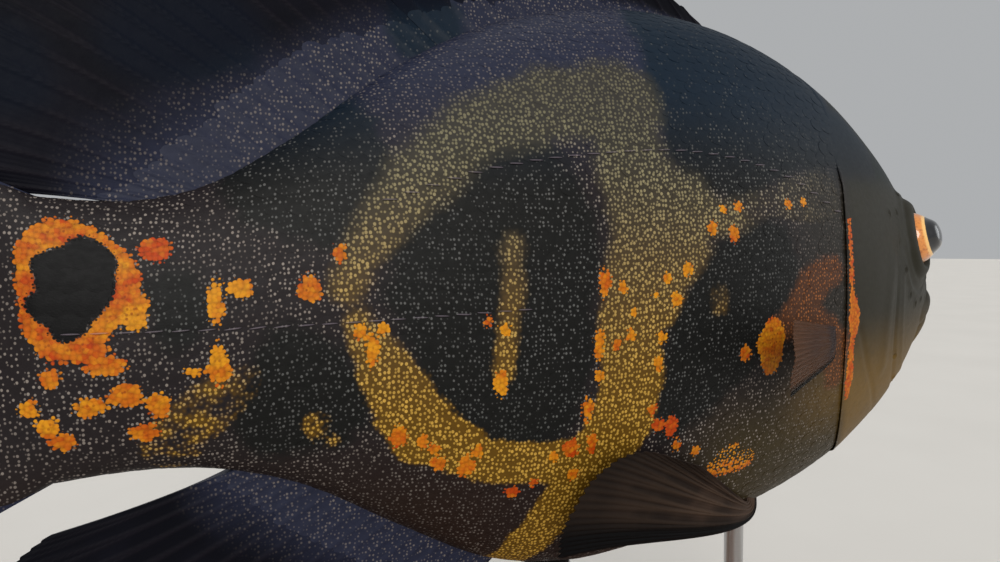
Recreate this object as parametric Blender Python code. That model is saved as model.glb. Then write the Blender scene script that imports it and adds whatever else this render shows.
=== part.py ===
"""A life-size oscar fish, as a still museum model on a plain display stand.

The fish is worked out straight: snout tip at x = 0, tail base at x = -BODY_LENGTH, right side
towards -Y, the line between back and belly near z = 0. Places along it are percents of its
length from the snout. bend_spine() then turns the head a little to the left, as a live fish
holds it, and in_place() lifts the fish over its stand. Metres, +Z up, head towards +X. The
origin is the middle of the whole model's footprint.
"""

import math

import bmesh
import bpy
import numpy as np

BODY_LENGTH = 0.240
PERCENT = BODY_LENGTH / 100.0
GAP = 0.0003

# Where the straight fish stands in the model
SNOUT_AHEAD = 0.1496
AXIS_HEIGHT = 0.136

# How the spine bends: the head swings towards +Y from the middle of the body
HEAD_SWING = math.radians(7.3)
TAIL_SWING = math.radians(-1.0)
BEND_START = 0.5

# Outline of the body, in percents of its length
STATION = [0, 1.5, 4, 8, 14, 20, 28, 36, 44, 52, 60, 68, 76, 84, 90, 96, 100]
BACK = [-1.2, 3.3, 7.1, 11.7, 17.0, 20.9, 25.0, 27.8, 29.2, 29.3, 28.0, 25.2, 20.5, 14.4, 10.7, 9.4, 9.6]
BELLY = [-1.2, -5.5, -8.5, -12.0, -16.1, -19.1, -22.0, -23.9, -25.0, -25.6, -25.5, -23.3, -18.5,
         -13.4, -11.2, -10.5, -10.6]
HALF_WIDTH = [0, 3.8, 5.8, 7.4, 9.2, 10.7, 12.1, 12.5, 12.3, 11.4, 10.2, 8.6, 6.9, 5.2, 4.2, 3.1, 2.3]
WIDEST_LEVEL = 0.47
SIDE_FULLNESS = 0.92
BACK_FULLNESS = 1.05
BELLY_FULLNESS = 0.95
AROUND = 32
HEAD_RINGS = 15
TORSO_RINGS = 18
STALK_RINGS = 8

# The rear edge of the gill cover, by the angle round the body from the top of the back
GILL_ANGLE = [0, 40, 60, 85, 110, 130, 150, 165, 180]
GILL_EDGE = [31.0, 30.8, 32.2, 33.2, 32.4, 29.8, 25.6, 22.4, 21.6]
GILL_CAP_CENTRE = 30.0
GILL_FLARE = 0.0011
GILL_FLARE_FROM, GILL_FLARE_TO = 52.0, 160.0
STALK_FROM = 82.0

# Head
EYE_RADIUS = 0.0081
EYE_AT, EYE_LEVEL = 12.9, 0.0146
EYE_DEPTH = 0.0021
EYE_RIM_TUBE = 0.0013
MOUTH_STATION = [-2.0, 0.0, 3.0, 6.0, 9.0]
MOUTH_LEVEL = [-1.0, -1.3, -2.7, -4.3, -5.6]
MOUTH_GAP = 0.0007
LIP_RADIUS = 0.0026
LIP_SPREAD = 0.0025
NOSTRIL_AT, NOSTRIL_LEVEL = 7.4, 0.0172
NOSTRIL_RADIUS = 0.0011

# Fins: thickness of the skin between rays, and of the rays
MEMBRANE = 0.0006
RAY = 0.0011
SPINE = 0.0017
DORSAL_FROM, DORSAL_SPLIT, DORSAL_TO = 37.5, 71.0, 94.5
DORSAL_SWEEP, DORSAL_SWEEP_FROM = 0.007, 84.0
ANAL_FROM, ANAL_TO = 66.0, 88.0
NODE_SPLIT = 0.12

# Stand
BASE_LENGTH, BASE_WIDTH, BASE_THICKNESS = 0.176, 0.112, 0.016
BASE_CENTRE = 0.034
BASE_CORNER = 0.030
ROD_RADIUS = 0.0026
ROD_COLLAR = 0.0075
ROD_SADDLE = 0.0060
ROD_PLACES = {"stand_rod_front": 34.5, "stand_rod_rear": 60.5}

# Colours, linear
DARK_SKIN = (0.020, 0.022, 0.026)
HEAD_SKIN = (0.060, 0.055, 0.042)
FIN_SKIN = (0.014, 0.013, 0.018)
PALE_FIN = (0.11, 0.10, 0.095)
EYE_COLOUR = (0.45, 0.20, 0.05)
WALNUT = (0.10, 0.045, 0.022)
STEEL = (0.55, 0.55, 0.56)


def smooth_curve(x, knots, values):
    """Cubic curve through the knots, each slope weighed from its two neighbouring runs."""
    knots = np.asarray(knots, float)
    values = np.asarray(values, float)
    step = np.diff(knots)
    rise = np.diff(values) / step
    slope = np.empty_like(values)
    slope[0], slope[-1] = rise[0], rise[-1]
    slope[1:-1] = (rise[:-1] * step[1:] + rise[1:] * step[:-1]) / (step[1:] + step[:-1])
    x = np.clip(x, knots[0], knots[-1])
    i = np.clip(np.searchsorted(knots, x, side="right") - 1, 0, len(step) - 1)
    t = (x - knots[i]) / step[i]
    start = (2 * t**3 - 3 * t**2 + 1) * values[i] + (t**3 - 2 * t**2 + t) * step[i] * slope[i]
    end = (3 * t**2 - 2 * t**3) * values[i + 1] + (t**3 - t**2) * step[i] * slope[i + 1]
    return start + end


def outline(percent):
    """Height of the back and the belly, and the half width, in metres.

    The curves run over the root of the distance from the snout, which rounds the nose.
    """
    root = np.sqrt(np.clip(percent, 0, 100))
    knots = np.sqrt(STATION)
    return tuple(smooth_curve(root, knots, row) * PERCENT for row in (BACK, BELLY, HALF_WIDTH))


def body_point(percent, angle):
    """Point of the skin at a station, by its angle in degrees from the back over the right side."""
    percent, angle = np.broadcast_arrays(np.asarray(percent, float), np.radians(angle))
    back, belly, half = outline(percent)
    level = belly + (back - belly) * WIDEST_LEVEL
    up, side = np.cos(angle), np.sin(angle)
    y = -half * np.sign(side) * np.abs(side) ** SIDE_FULLNESS
    above = level + (back - level) * np.abs(up) ** BACK_FULLNESS
    below = level - (level - belly) * np.abs(up) ** BELLY_FULLNESS
    return np.stack([-percent * PERCENT, y, np.where(up > 0, above, below)], -1)


def flank_angle(percent, height):
    """Angle in degrees at which the right side of a station reaches a height."""
    back, belly, _ = outline(percent)
    level = belly + (back - belly) * WIDEST_LEVEL
    above = np.clip((height - level) / (back - level), 0, 1) ** (1 / BACK_FULLNESS)
    below = np.clip((level - height) / (level - belly), 0, 1) ** (1 / BELLY_FULLNESS)
    return np.degrees(np.arccos(np.where(height > level, above, -below)))


def flank_point(percent, height):
    """Point of the right flank at a station and height."""
    return body_point(percent, flank_angle(percent, height))


def skin_normal(percent, angle):
    """Outward direction of the skin at a station and angle, from two short steps along it."""
    here = body_point(percent, angle)
    along = body_point(np.asarray(percent) + 0.2, angle) - here
    around = body_point(percent, np.asarray(angle) + 1.0) - here
    normal = np.cross(along, around)
    return normal / np.linalg.norm(normal, axis=-1, keepdims=True)


def bend_spine(points):
    """Bends straight-fish points along two arcs that start at the middle of the body."""
    points = np.asarray(points, float)
    pivot = -BEND_START * BODY_LENGTH
    ahead = points[..., 0] - pivot
    front, rear = np.maximum(ahead, 0), np.maximum(-ahead, 0)
    head_curve = HEAD_SWING / (BEND_START * BODY_LENGTH)
    tail_curve = TAIL_SWING / ((1 - BEND_START) * BODY_LENGTH)
    heading = head_curve * front - tail_curve * rear
    x = pivot + np.sin(head_curve * front) / head_curve - np.sin(tail_curve * rear) / tail_curve
    y = (1 - np.cos(head_curve * front)) / head_curve + (1 - np.cos(tail_curve * rear)) / tail_curve
    side = points[..., 1]
    return np.stack([x - side * np.sin(heading), y + side * np.cos(heading), points[..., 2]], -1)


def in_place(points):
    """Carries straight-fish points to the model: bent, over the stand."""
    return bend_spine(points) + np.array([SNOUT_AHEAD, 0.0, AXIS_HEIGHT])


def mirrored(points):
    """The same points on the other side of the straight fish."""
    return np.asarray(points) * np.array([1.0, -1.0, 1.0])


def make_material(name, colour, roughness, metallic=0.0):
    """Plain Principled material."""
    material = bpy.data.materials.new(name)
    material.use_nodes = True
    shader = material.node_tree.nodes["Principled BSDF"]
    shader.inputs["Base Color"].default_value = (*colour, 1.0)
    shader.inputs["Roughness"].default_value = roughness
    shader.inputs["Metallic"].default_value = metallic
    material.diffuse_color = (*colour, 1.0)
    return material


def make_object(name, points, faces, material):
    """Object from points and faces, with outward faces and smooth shading."""
    mesh = bpy.data.meshes.new(name)
    mesh.from_pydata([tuple(p) for p in np.asarray(points).reshape(-1, 3)], [], faces)
    work = bmesh.new()
    work.from_mesh(mesh)
    bmesh.ops.recalc_face_normals(work, faces=work.faces[:])
    work.to_mesh(mesh)
    work.free()
    mesh.materials.append(material)
    mesh.shade_smooth()
    mesh.set_sharp_from_angle(angle=math.radians(50))
    item = bpy.data.objects.new(name, mesh)
    bpy.context.scene.collection.objects.link(item)
    return item


def ring_solid(name, rings, first, last, material, split=0):
    """Solid from rings of equal count, closed at both ends by a fan to a point.

    split says which diagonal parts each four-sided face, so that walls which face each other
    can be parted alike though their rings run opposite ways.
    """
    count, around = rings.shape[:2]
    points = np.concatenate([rings.reshape(-1, 3), [first], [last]])
    faces = []
    for i in range(count - 1):
        for j in range(around):
            k = (j + 1) % around
            a, b, c, d = i * around + j, i * around + k, (i + 1) * around + k, (i + 1) * around + j
            faces += [(a, b, c), (a, c, d)] if split == 0 else [(a, b, d), (b, c, d)]
    head, tail = count * around, count * around + 1
    rear = (count - 1) * around
    for j in range(around):
        k = (j + 1) % around
        faces.append((head, k, j))
        faces.append((tail, rear + j, rear + k))
    return make_object(name, points, faces, material)


def sheet_solid(name, middle, half, material, root_way=None):
    """Thin solid from its middle surface and half thickness, both faces split alike.

    middle is a grid of rows from root to tip by columns across the fin. root_way is the way
    the root row leaves the skin, so that the root's end lies flat on it.
    """
    along = np.gradient(middle, axis=0)
    if root_way is not None:
        along[0] = root_way
    across = np.gradient(middle, axis=1)
    normal = np.cross(along, across)
    normal /= np.linalg.norm(normal, axis=-1, keepdims=True)
    rows, columns = middle.shape[:2]
    near = middle + normal * half[..., None]
    far = middle - normal * half[..., None]
    points = in_place(np.concatenate([near.reshape(-1, 3), far.reshape(-1, 3)]))
    other = rows * columns
    faces = []
    for i in range(rows - 1):
        for j in range(columns - 1):
            a, b = i * columns + j, i * columns + j + 1
            c, d = a + columns, b + columns
            faces += [(a, b, d), (a, d, c)]
            faces += [(other + a, other + d, other + b), (other + a, other + c, other + d)]
    rim = [j for j in range(columns)]
    rim += [i * columns + columns - 1 for i in range(1, rows)]
    rim += [(rows - 1) * columns + j for j in range(columns - 2, -1, -1)]
    rim += [i * columns for i in range(rows - 2, 0, -1)]
    for a, b in zip(rim, rim[1:] + rim[:1]):
        faces += [(a, other + a, other + b), (a, other + b, b)]
    return make_object(name, points, faces, material)


def fuse(target, joined, cutters):
    """Joins solids to the target, cuts others from it, and keeps its largest closed surface."""
    material = target.data.materials[0]
    for operation, pieces in (("UNION", joined), ("DIFFERENCE", cutters)):
        if pieces:
            group = bpy.data.collections.new(target.name + "_" + operation.lower())
            for piece in pieces:
                group.objects.link(piece)
            change = target.modifiers.new(operation.lower(), "BOOLEAN")
            change.operation = operation
            change.operand_type = "COLLECTION"
            change.collection = group
            change.solver = "EXACT"
    graph = bpy.context.evaluated_depsgraph_get()
    mesh = bpy.data.meshes.new_from_object(target.evaluated_get(graph))
    target.modifiers.clear()
    target.data = mesh
    mesh.materials.clear()
    mesh.materials.append(material)
    for piece in joined + cutters:
        bpy.data.objects.remove(piece)
    keep_largest_surface(mesh)


def keep_largest_surface(mesh):
    """Welds coincident points and drops every closed surface but the largest."""
    work = bmesh.new()
    work.from_mesh(mesh)
    bmesh.ops.remove_doubles(work, verts=work.verts[:], dist=1e-6)
    bmesh.ops.triangulate(work, faces=work.faces[:])
    unseen = set(work.faces)
    groups = []
    while unseen:
        group, front = set(), [unseen.pop()]
        while front:
            face = front.pop()
            group.add(face)
            for edge in face.edges:
                for other in edge.link_faces:
                    if other in unseen:
                        unseen.discard(other)
                        front.append(other)
        groups.append(group)
    largest = max(groups, key=lambda g: sum(f.calc_area() for f in g))
    scraps = [face for group in groups if group is not largest for face in group]
    bmesh.ops.delete(work, geom=scraps, context="FACES")
    work.to_mesh(mesh)
    work.free()
    mesh.shade_smooth()
    mesh.set_sharp_from_angle(angle=math.radians(50))


def ball(name, centre, radius, material, rings=9, around=16):
    """Round solid at a model point."""
    tilt = np.linspace(0, math.pi, rings + 2)[1:-1, None]
    turn = np.linspace(0, 2 * math.pi, around, endpoint=False)[None, :]
    unit = np.stack(np.broadcast_arrays(np.sin(tilt) * np.cos(turn), np.sin(tilt) * np.sin(turn), np.cos(tilt)), -1)
    pole = np.array([0.0, 0.0, radius])
    return ring_solid(name, centre + unit * radius, centre + pole, centre - pole, material)


def tube(name, path, radius, material, sides=6):
    """Solid tube along straight-fish points, closed to a point at each end."""
    tangent = np.gradient(path, axis=0)
    tangent /= np.linalg.norm(tangent, axis=-1, keepdims=True)
    flat = np.cross(tangent, [0.0, 0.0, 1.0])
    flat /= np.linalg.norm(flat, axis=-1, keepdims=True)
    upright = np.cross(flat, tangent)
    turn = np.linspace(0, 2 * math.pi, sides, endpoint=False)
    rings = (path[:, None] + radius[:, None, None]
             * (flat[:, None] * np.cos(turn)[None, :, None] + upright[:, None] * np.sin(turn)[None, :, None]))
    first = path[0] - tangent[0] * radius[0] * 0.5
    last = path[-1] + tangent[-1] * radius[-1] * 0.5
    return ring_solid(name, in_place(rings), in_place(first), in_place(last), material)


def gill_edge(angle):
    """Station of the gill cover's rear edge at an angle round the body, alike on both sides."""
    fold = np.abs((np.asarray(angle) + 180.0) % 360.0 - 180.0)
    return smooth_curve(fold, GILL_ANGLE, GILL_EDGE)


def gill_flare(angle):
    """How far the gill cover's edge stands proud, 0 to 1, at an angle round the body."""
    fold = np.abs((np.asarray(angle) + 180.0) % 360.0 - 180.0)
    rise = np.clip((fold - GILL_FLARE_FROM) / 14.0, 0, 1)
    fall = np.clip((GILL_FLARE_TO - fold) / 14.0, 0, 1)
    return (rise * fall) ** 2 * (3 - 2 * rise * fall)


def gill_wall(angle, shift):
    """Rings from the skin to the middle, over the surface that parts head and torso."""
    edge = gill_edge(angle) * PERCENT + shift
    skin = body_point(gill_edge(angle), angle)
    rings = []
    for reach in (0.97, 0.75, 0.45, 0.2):
        x = -(edge * reach + (GILL_CAP_CENTRE * PERCENT + shift) * (1 - reach))
        rings.append(np.stack([x, skin[:, 1] * reach, skin[:, 2] * reach], -1))
    return np.array(rings), np.array([-(GILL_CAP_CENTRE * PERCENT + shift), 0.0, 0.0])


def around_angles():
    """Angles of the points round every ring of the body."""
    return np.linspace(0, 360, AROUND, endpoint=False)


def mouth_height(percent):
    """Height of the line of the mouth at a station."""
    return smooth_curve(percent, MOUTH_STATION, MOUTH_LEVEL) * PERCENT


def lip(name, sign, material):
    """One lip: a tube round the mouth from corner to corner, thickest in front."""
    swing = np.radians(np.linspace(-90, 90, 19))
    corner = MOUTH_STATION[-1] - 0.6
    percent = 0.35 + (corner - 0.35) * (1 - np.cos(swing))
    fade = 1 - 0.55 * np.sin(np.abs(swing)) ** 4
    height = mouth_height(percent) + sign * LIP_SPREAD * fade
    path = flank_point(percent, height)
    path[:, 1] *= np.sign(swing) * 0.96
    path[:, 0] -= 0.0006
    return tube(name, path, LIP_RADIUS * (0.45 + 0.55 * np.cos(swing) ** 0.8), material)


def mouth_slit(material):
    """Cutter for the line of the mouth: a thin curved slab as wide as the head."""
    percent = np.linspace(MOUTH_STATION[0], MOUTH_STATION[-1], 9)
    height = mouth_height(percent)
    width = np.linspace(-0.030, 0.030, 7)
    middle = np.stack(np.broadcast_arrays(-percent[:, None] * PERCENT, width[None], height[:, None]), -1)
    return sheet_solid("mouth_cutter", middle, np.full(middle.shape[:2], MOUTH_GAP / 2), material)


def eye_centre():
    """Centre of the right eyeball in the straight fish, and the way it looks."""
    angle = flank_angle(EYE_AT, EYE_LEVEL)
    outward = skin_normal(EYE_AT, angle)
    return body_point(EYE_AT, angle) - outward * EYE_DEPTH, outward


def eye_rim(name, flip, material):
    """Ring of skin round the eye, where the ball comes out of the head."""
    centre, outward = eye_centre()
    back = np.cross(outward, [0.0, 0.0, 1.0])
    back /= np.linalg.norm(back)
    upright = np.cross(back, outward)
    turn = np.linspace(0, 2 * math.pi, 18, endpoint=False)
    spoke = back * np.cos(turn)[:, None] + upright * np.sin(turn)[:, None]
    ring_middle = centre + outward * EYE_DEPTH * 0.75 + spoke * EYE_RADIUS * 0.99
    curl = np.linspace(0, 2 * math.pi, 6, endpoint=False)
    tube_points = (ring_middle[:, None] + EYE_RIM_TUBE
                   * (spoke[:, None] * np.cos(curl)[None, :, None] * 1.3
                      + outward * np.sin(curl)[None, :, None]))
    points = tube_points if not flip else mirrored(tube_points)
    count, sides = points.shape[:2]
    faces = []
    for i in range(count):
        for j in range(sides):
            k, m = (i + 1) % count, (j + 1) % sides
            faces.append((i * sides + j, k * sides + j, k * sides + m, i * sides + m))
    return make_object(name, in_place(points), faces, material)


def make_head(material):
    """Head with its gill covers, lips, mouth line, nostrils and eye sockets."""
    angle = around_angles()
    share = np.linspace(0, 1, HEAD_RINGS + 1)[1:, None]
    percent = (np.sqrt(gill_edge(angle))[None, :] * share) ** 2
    rings = body_point(percent, angle[None, :])
    ramp = np.clip((share - 0.86) / 0.12, 0, 1) ** 2
    outward = skin_normal(percent, angle[None, :])
    outward[..., 0] *= 0.2
    rings = rings + outward * (GILL_FLARE * ramp * gill_flare(angle)[None, :])[..., None]
    wall, middle = gill_wall(angle, 0.0)
    rings = np.concatenate([rings, wall])
    nose = np.array([0.0, 0.0, BACK[0] * PERCENT])
    head = ring_solid("head", in_place(rings), in_place(nose), in_place(middle), material)
    joined = [lip("lip_upper_piece", 1, material), lip("lip_lower_piece", -1, material)]
    cutters = [mouth_slit(material)]
    centre, _ = eye_centre()
    nostril = flank_point(NOSTRIL_AT, NOSTRIL_LEVEL)
    for flip in (False, True):
        side = mirrored if flip else np.asarray
        tag = "left" if flip else "right"
        joined.append(eye_rim("rim_" + tag, flip, material))
        cutters.append(ball("socket_" + tag, in_place(side(centre)), EYE_RADIUS + GAP, material, 9, 16))
        cutters.append(ball("nostril_" + tag, in_place(side(nostril)), NOSTRIL_RADIUS, material, 3, 8))
    fuse(head, joined, cutters)


def make_eyes(material):
    """Two eyeballs in their sockets."""
    centre, _ = eye_centre()
    ball("eye_r", in_place(centre), EYE_RADIUS, material, 9, 16)
    ball("eye_l", in_place(mirrored(centre)), EYE_RADIUS, material, 9, 16)


def make_torso(material):
    """Trunk from the gill covers to the tail stalk."""
    angle = around_angles()
    shift = GAP * 1.4
    start = gill_edge(angle) + shift / PERCENT
    share = np.linspace(0, 1, TORSO_RINGS)[:, None]
    percent = start[None, :] * (1 - share) + STALK_FROM * share
    skin = body_point(percent, angle[None, :])
    wall, middle = gill_wall(angle, shift)
    rings = np.concatenate([wall[::-1], skin])
    rear = np.array([-STALK_FROM * PERCENT, 0.0, 0.0])
    ring_solid("torso", in_place(rings), in_place(middle), in_place(rear), material, split=1)


def make_tail_stalk(material):
    """Tail stalk, which carries the tail fin."""
    angle = around_angles()
    percent = np.linspace(STALK_FROM + GAP / PERCENT, 100.0, STALK_RINGS)
    rings = body_point(percent[:, None], angle[None, :])
    front = np.array([-percent[0] * PERCENT, 0.0, 0.0])
    rear = np.array([-BODY_LENGTH, 0.0, 0.0])
    ring_solid("tail_stalk", in_place(rings), in_place(front), in_place(rear), material)


def ray_columns(first, last, rays):
    """Places across a fin, one for each ray and one between each two, and which are rays."""
    place = np.linspace(first, last, 2 * rays + 1)
    is_ray = np.arange(2 * rays + 1) % 2 == 1
    return place, is_ray


def upright_fin(name, first, last, rays, rows, shape, side, material, sweep=0.0):
    """Fin in the middle plane: rays lean back and curl as they rise from the back or belly.

    shape gives, for a station, the lean in degrees from the vertical, the curl in degrees over
    the ray, the length in percents, and the half thickness of the scaly root. side is 1 for a
    fin on the back and -1 for one on the belly. sweep is how far the rearmost rays lean to the
    left of the middle plane, beside the tail fin.
    """
    place, is_ray = ray_columns(first, last, rays)
    lean, curl, length, root_half, notch, bone = shape(place)
    length = length * PERCENT * np.where(is_ray, 1.0, notch)
    rise = np.linspace(0, 1, rows)[:, None]
    lean, curl = np.radians(lean)[None], np.radians(curl)[None]
    back_run = (np.cos(lean) - np.cos(lean + curl * rise)) / curl * length
    up_run = (np.sin(lean + curl * rise) - np.sin(lean)) / curl * length
    back, belly, _ = outline(place)
    edge = back if side > 0 else belly
    x = -place[None] * PERCENT - back_run
    z = edge[None] + side * (GAP + up_run)
    wave = 0.0016 * np.sin(np.radians(place * 14))[None] * rise**2
    rear = np.clip((place - DORSAL_SWEEP_FROM) / (DORSAL_TO - DORSAL_SWEEP_FROM), 0, 1)
    wave = wave + sweep * rear[None] ** 2 * rise**2
    middle = np.stack(np.broadcast_arrays(x, wave, z), -1)
    half = MEMBRANE / 2 + np.where(is_ray, (bone - MEMBRANE) / 2, 0)[None] * (1 - 0.55 * rise)
    half = half + (root_half[None] - MEMBRANE / 2) * np.clip(1 - rise / 0.4, 0, 1) ** 2
    return sheet_solid(name, middle, half, material)


def spiny_dorsal_shape(place):
    """Lean, curl, length and thickness of the dorsal fin's spiny part."""
    lean = smooth_curve(place, [37.5, 48, 60, 71], [54, 46, 45, 48])
    length = smooth_curve(place, [37.5, 42, 48, 57, 65, 71], [4.5, 7.8, 9.6, 10.6, 11.6, 14.0])
    root = smooth_curve(place, [37.5, 60, 71], [0.0010, 0.0012, 0.0016])
    curl = smooth_curve(place, [37.5, 60, 71], [5, 6, 9])
    return lean, curl, length, root, 0.86, SPINE


def soft_dorsal_shape(place):
    """Lean, curl, length and thickness of the dorsal fin's soft part."""
    lean = smooth_curve(place, [71, 80, 88, 94.5], [48, 52, 62, 80])
    length = smooth_curve(place, [71, 78, 84, 88, 92, 94.5], [14.0, 19.5, 24.0, 24.5, 19.0, 12.5])
    root = smooth_curve(place, [71, 84, 94.5], [0.0016, 0.0022, 0.0014])
    return lean, np.full_like(place, 9.0), length, root, 0.985, RAY


def anal_shape(place):
    """Lean, curl, length and thickness of the anal fin."""
    lean = smooth_curve(place, [66, 74, 82, 88], [46, 52, 62, 74])
    length = smooth_curve(place, [66, 69, 73, 78, 82, 86, 88], [4.0, 9.5, 15.5, 21.0, 22.5, 19.0, 13.0])
    root = smooth_curve(place, [66, 78, 88], [0.0012, 0.0024, 0.0016])
    return lean, np.full_like(place, 8.0), length, root, 0.975, RAY


def make_tail_fin(material):
    """Rounded tail fin: a fan of rays from the end of the stalk."""
    spread, is_ray = ray_columns(-1.0, 1.0, 15)
    top, bottom, half_end = outline(100.0)
    base_height = (top + bottom) / 2 + spread * (top - bottom) / 2 * 0.97
    way = np.radians(spread * 27)[None]
    length = 25.0 * PERCENT * (1 - 0.05 * spread**2 - 0.13 * spread**6) * np.where(is_ray, 1.0, 0.985)
    rise = np.linspace(0, 1, 8)[:, None]
    x = -BODY_LENGTH - GAP - np.cos(way) * length * rise
    z = base_height[None] + np.sin(way) * length * rise
    wave = 0.0022 * np.sin(np.radians(spread * 150 + 20))[None] * rise**2
    middle = np.stack(np.broadcast_arrays(x, wave, z), -1)
    root_half = np.maximum(half_end * np.sqrt(np.clip(1 - spread**2, 0, 1)), RAY / 2)
    half = MEMBRANE / 2 + np.where(is_ray, (RAY - MEMBRANE) / 2, 0)[None] * (1 - 0.5 * rise)
    half = half + (root_half[None] - MEMBRANE / 2) * np.clip(1 - rise / 0.35, 0, 1) ** 2
    sheet_solid("tail_fin", middle, half, material)


def side_fin(name, root, outward, tips, rows, root_half, stand_off, flip, material):
    """Paired fin: each ray leaves the skin square and sweeps over to its tip on one cubic curve."""
    rise = (np.linspace(0, 1, rows) ** 1.3)[:, None, None]
    root = root + outward * GAP
    sweep = tips - root
    leave = outward * np.asarray(stand_off)[..., None]
    arrive = sweep * 1.05
    middle = ((2 * rise**3 - 3 * rise**2 + 1) * root[None] + (rise**3 - 2 * rise**2 + rise) * leave[None]
              + (3 * rise**2 - 2 * rise**3) * tips[None] + (rise**3 - rise**2) * arrive[None])
    is_ray = np.arange(root.shape[0]) % 2 == 1
    rise = rise[..., 0]
    half = MEMBRANE / 2 + np.where(is_ray, (RAY - MEMBRANE) / 2, 0)[None] * (1 - 0.5 * rise)
    half = half + (root_half - MEMBRANE / 2) * np.clip(1 - rise / 0.3, 0, 1) ** 1.5
    side = mirrored if flip else np.asarray
    return sheet_solid(name, side(middle), half, material, side(outward))


def make_pelvic_fin(name, flip, material):
    """Pelvic fin, swept back and up along the belly from a short root beside the keel."""
    across = np.linspace(0, 1, 13)
    percent = 36.8 + 3.8 * across
    angle = 161.0 - 13.0 * across
    stand_off = smooth_curve(across, [0, 0.5, 1], [0.040, 0.028, 0.016])
    tips = np.stack([smooth_curve(across, [0, 0.25, 0.5, 0.75, 1], row) for row in (
        [-64.6, -64.6, -62.5, -58.2, -51.7],
        [-9.2, -10.2, -11.4, -12.0, -12.0],
        [-20.3, -17.1, -13.0, -11.3, -13.6])], -1) * PERCENT
    side_fin(name, body_point(percent, angle), skin_normal(percent, angle), tips, 9,
             0.0017, stand_off, flip, material)


def make_pectoral_fin(name, flip, material):
    """Pectoral fin, held half open behind the gill cover, pointing back and outwards."""
    across = np.linspace(0, 1, 19)
    height = -0.0060 - 0.0085 * across
    percent = 35.1 - 0.3 * across
    angle = flank_angle(percent, height)
    tips = np.stack([smooth_curve(across, [0, 0.25, 0.5, 0.75, 1], row) for row in (
        [-46.1, -48.6, -49.6, -48.7, -46.2],
        [-17.6, -19.0, -19.6, -18.8, -17.0],
        [-1.1, -1.9, -3.1, -4.7, -6.7])], -1) * PERCENT
    side_fin(name, body_point(percent, angle), skin_normal(percent, angle), tips, 9,
             0.0016, 0.014, flip, material)


def turned(name, centre, profile, around, material, top_height=None):
    """Solid turned about an upright axis from (radius, height) pairs, bottom to top."""
    turn = np.linspace(0, 2 * math.pi, around, endpoint=False)
    rings = []
    for radius, height in profile:
        x = centre[0] + radius * np.cos(turn)
        y = centre[1] + radius * np.sin(turn)
        z = np.full(around, height) if top_height is None else height + top_height(x, y, height)
        rings.append(np.stack([x, y, z], -1))
    rings = np.array(rings)
    return ring_solid(name, rings, rings[0].mean(0), rings[-1].mean(0), material)


def make_rod(name, percent, material):
    """Rod from the base to a small saddle that follows the belly's keel."""
    foot = BASE_THICKNESS + GAP
    centre = in_place(body_point(percent, 180.0))
    top = centre[2] - GAP

    def follow(x, y, height):
        near = np.clip((height - (top - 0.004)) / 0.004, 0, 1)
        station = percent - (x - centre[0]) / PERCENT
        belly = outline(station)[1] + AXIS_HEIGHT
        lift = 0.5 * (y - centre[1]) ** 2 / 0.018
        return near * (belly + lift - centre[2])

    profile = [(ROD_COLLAR, foot), (ROD_COLLAR, foot + 0.0018), (ROD_COLLAR * 0.7, foot + 0.0034),
               (ROD_RADIUS, foot + 0.0046), (ROD_RADIUS, top - 0.008), (ROD_SADDLE * 0.75, top - 0.003),
               (ROD_SADDLE, top - 0.0016), (ROD_SADDLE, top - 0.0004)]
    turned(name, centre, profile, 14, material, follow)


def make_base(material):
    """Flat wooden base with rounded corners and eased edges."""
    corners = []
    for k, (sx, sy) in enumerate(((1, 1), (-1, 1), (-1, -1), (1, -1))):
        for step in range(7):
            turn = math.radians(90 * k + 15 * step)
            corners.append((sx * (BASE_LENGTH / 2 - BASE_CORNER) + BASE_CORNER * math.cos(turn),
                            sy * (BASE_WIDTH / 2 - BASE_CORNER) + BASE_CORNER * math.sin(turn)))
    corners = np.array(corners)
    rings = []
    for inset, height in ((0.0012, 0.0), (0.0, 0.0012), (0.0, 0.0125), (0.0009, 0.0147), (0.0030, BASE_THICKNESS)):
        shrink = 1 - inset / np.array([BASE_LENGTH / 2, BASE_WIDTH / 2])
        flat = corners * shrink + np.array([BASE_CENTRE, 0.0])
        rings.append(np.column_stack([flat, np.full(len(flat), height)]))
    rings = np.array(rings)
    ring_solid("stand_base", rings, rings[0].mean(0), rings[-1].mean(0), material)


def main():
    for item in list(bpy.data.objects):
        bpy.data.objects.remove(item)
    body = make_material("flank_skin", DARK_SKIN, 0.38)
    head = make_material("head_skin", HEAD_SKIN, 0.40)
    fin = make_material("dark_fin", FIN_SKIN, 0.42)
    pale_fin = make_material("pale_fin", PALE_FIN, 0.40)
    eye = make_material("eye", EYE_COLOUR, 0.08)
    wood = make_material("walnut", WALNUT, 0.40)
    steel = make_material("satin_steel", STEEL, 0.30, 1.0)

    make_head(head)
    make_eyes(eye)
    make_torso(body)
    make_tail_stalk(body)
    upright_fin("dorsal_fin_spiny", DORSAL_FROM, DORSAL_SPLIT - NODE_SPLIT, 13, 5, spiny_dorsal_shape, 1, fin)
    upright_fin("dorsal_fin_soft", DORSAL_SPLIT + NODE_SPLIT, DORSAL_TO, 19, 8, soft_dorsal_shape, 1, fin,
                DORSAL_SWEEP)
    upright_fin("anal_fin", ANAL_FROM, ANAL_TO, 18, 8, anal_shape, -1, fin)
    make_tail_fin(fin)
    for tag, flip in (("r", False), ("l", True)):
        make_pelvic_fin("pelvic_fin_" + tag, flip, fin)
        make_pectoral_fin("pectoral_fin_" + tag, flip, pale_fin)
    for name, percent in ROD_PLACES.items():
        make_rod(name, percent, steel)
    make_base(wood)


main()
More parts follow.
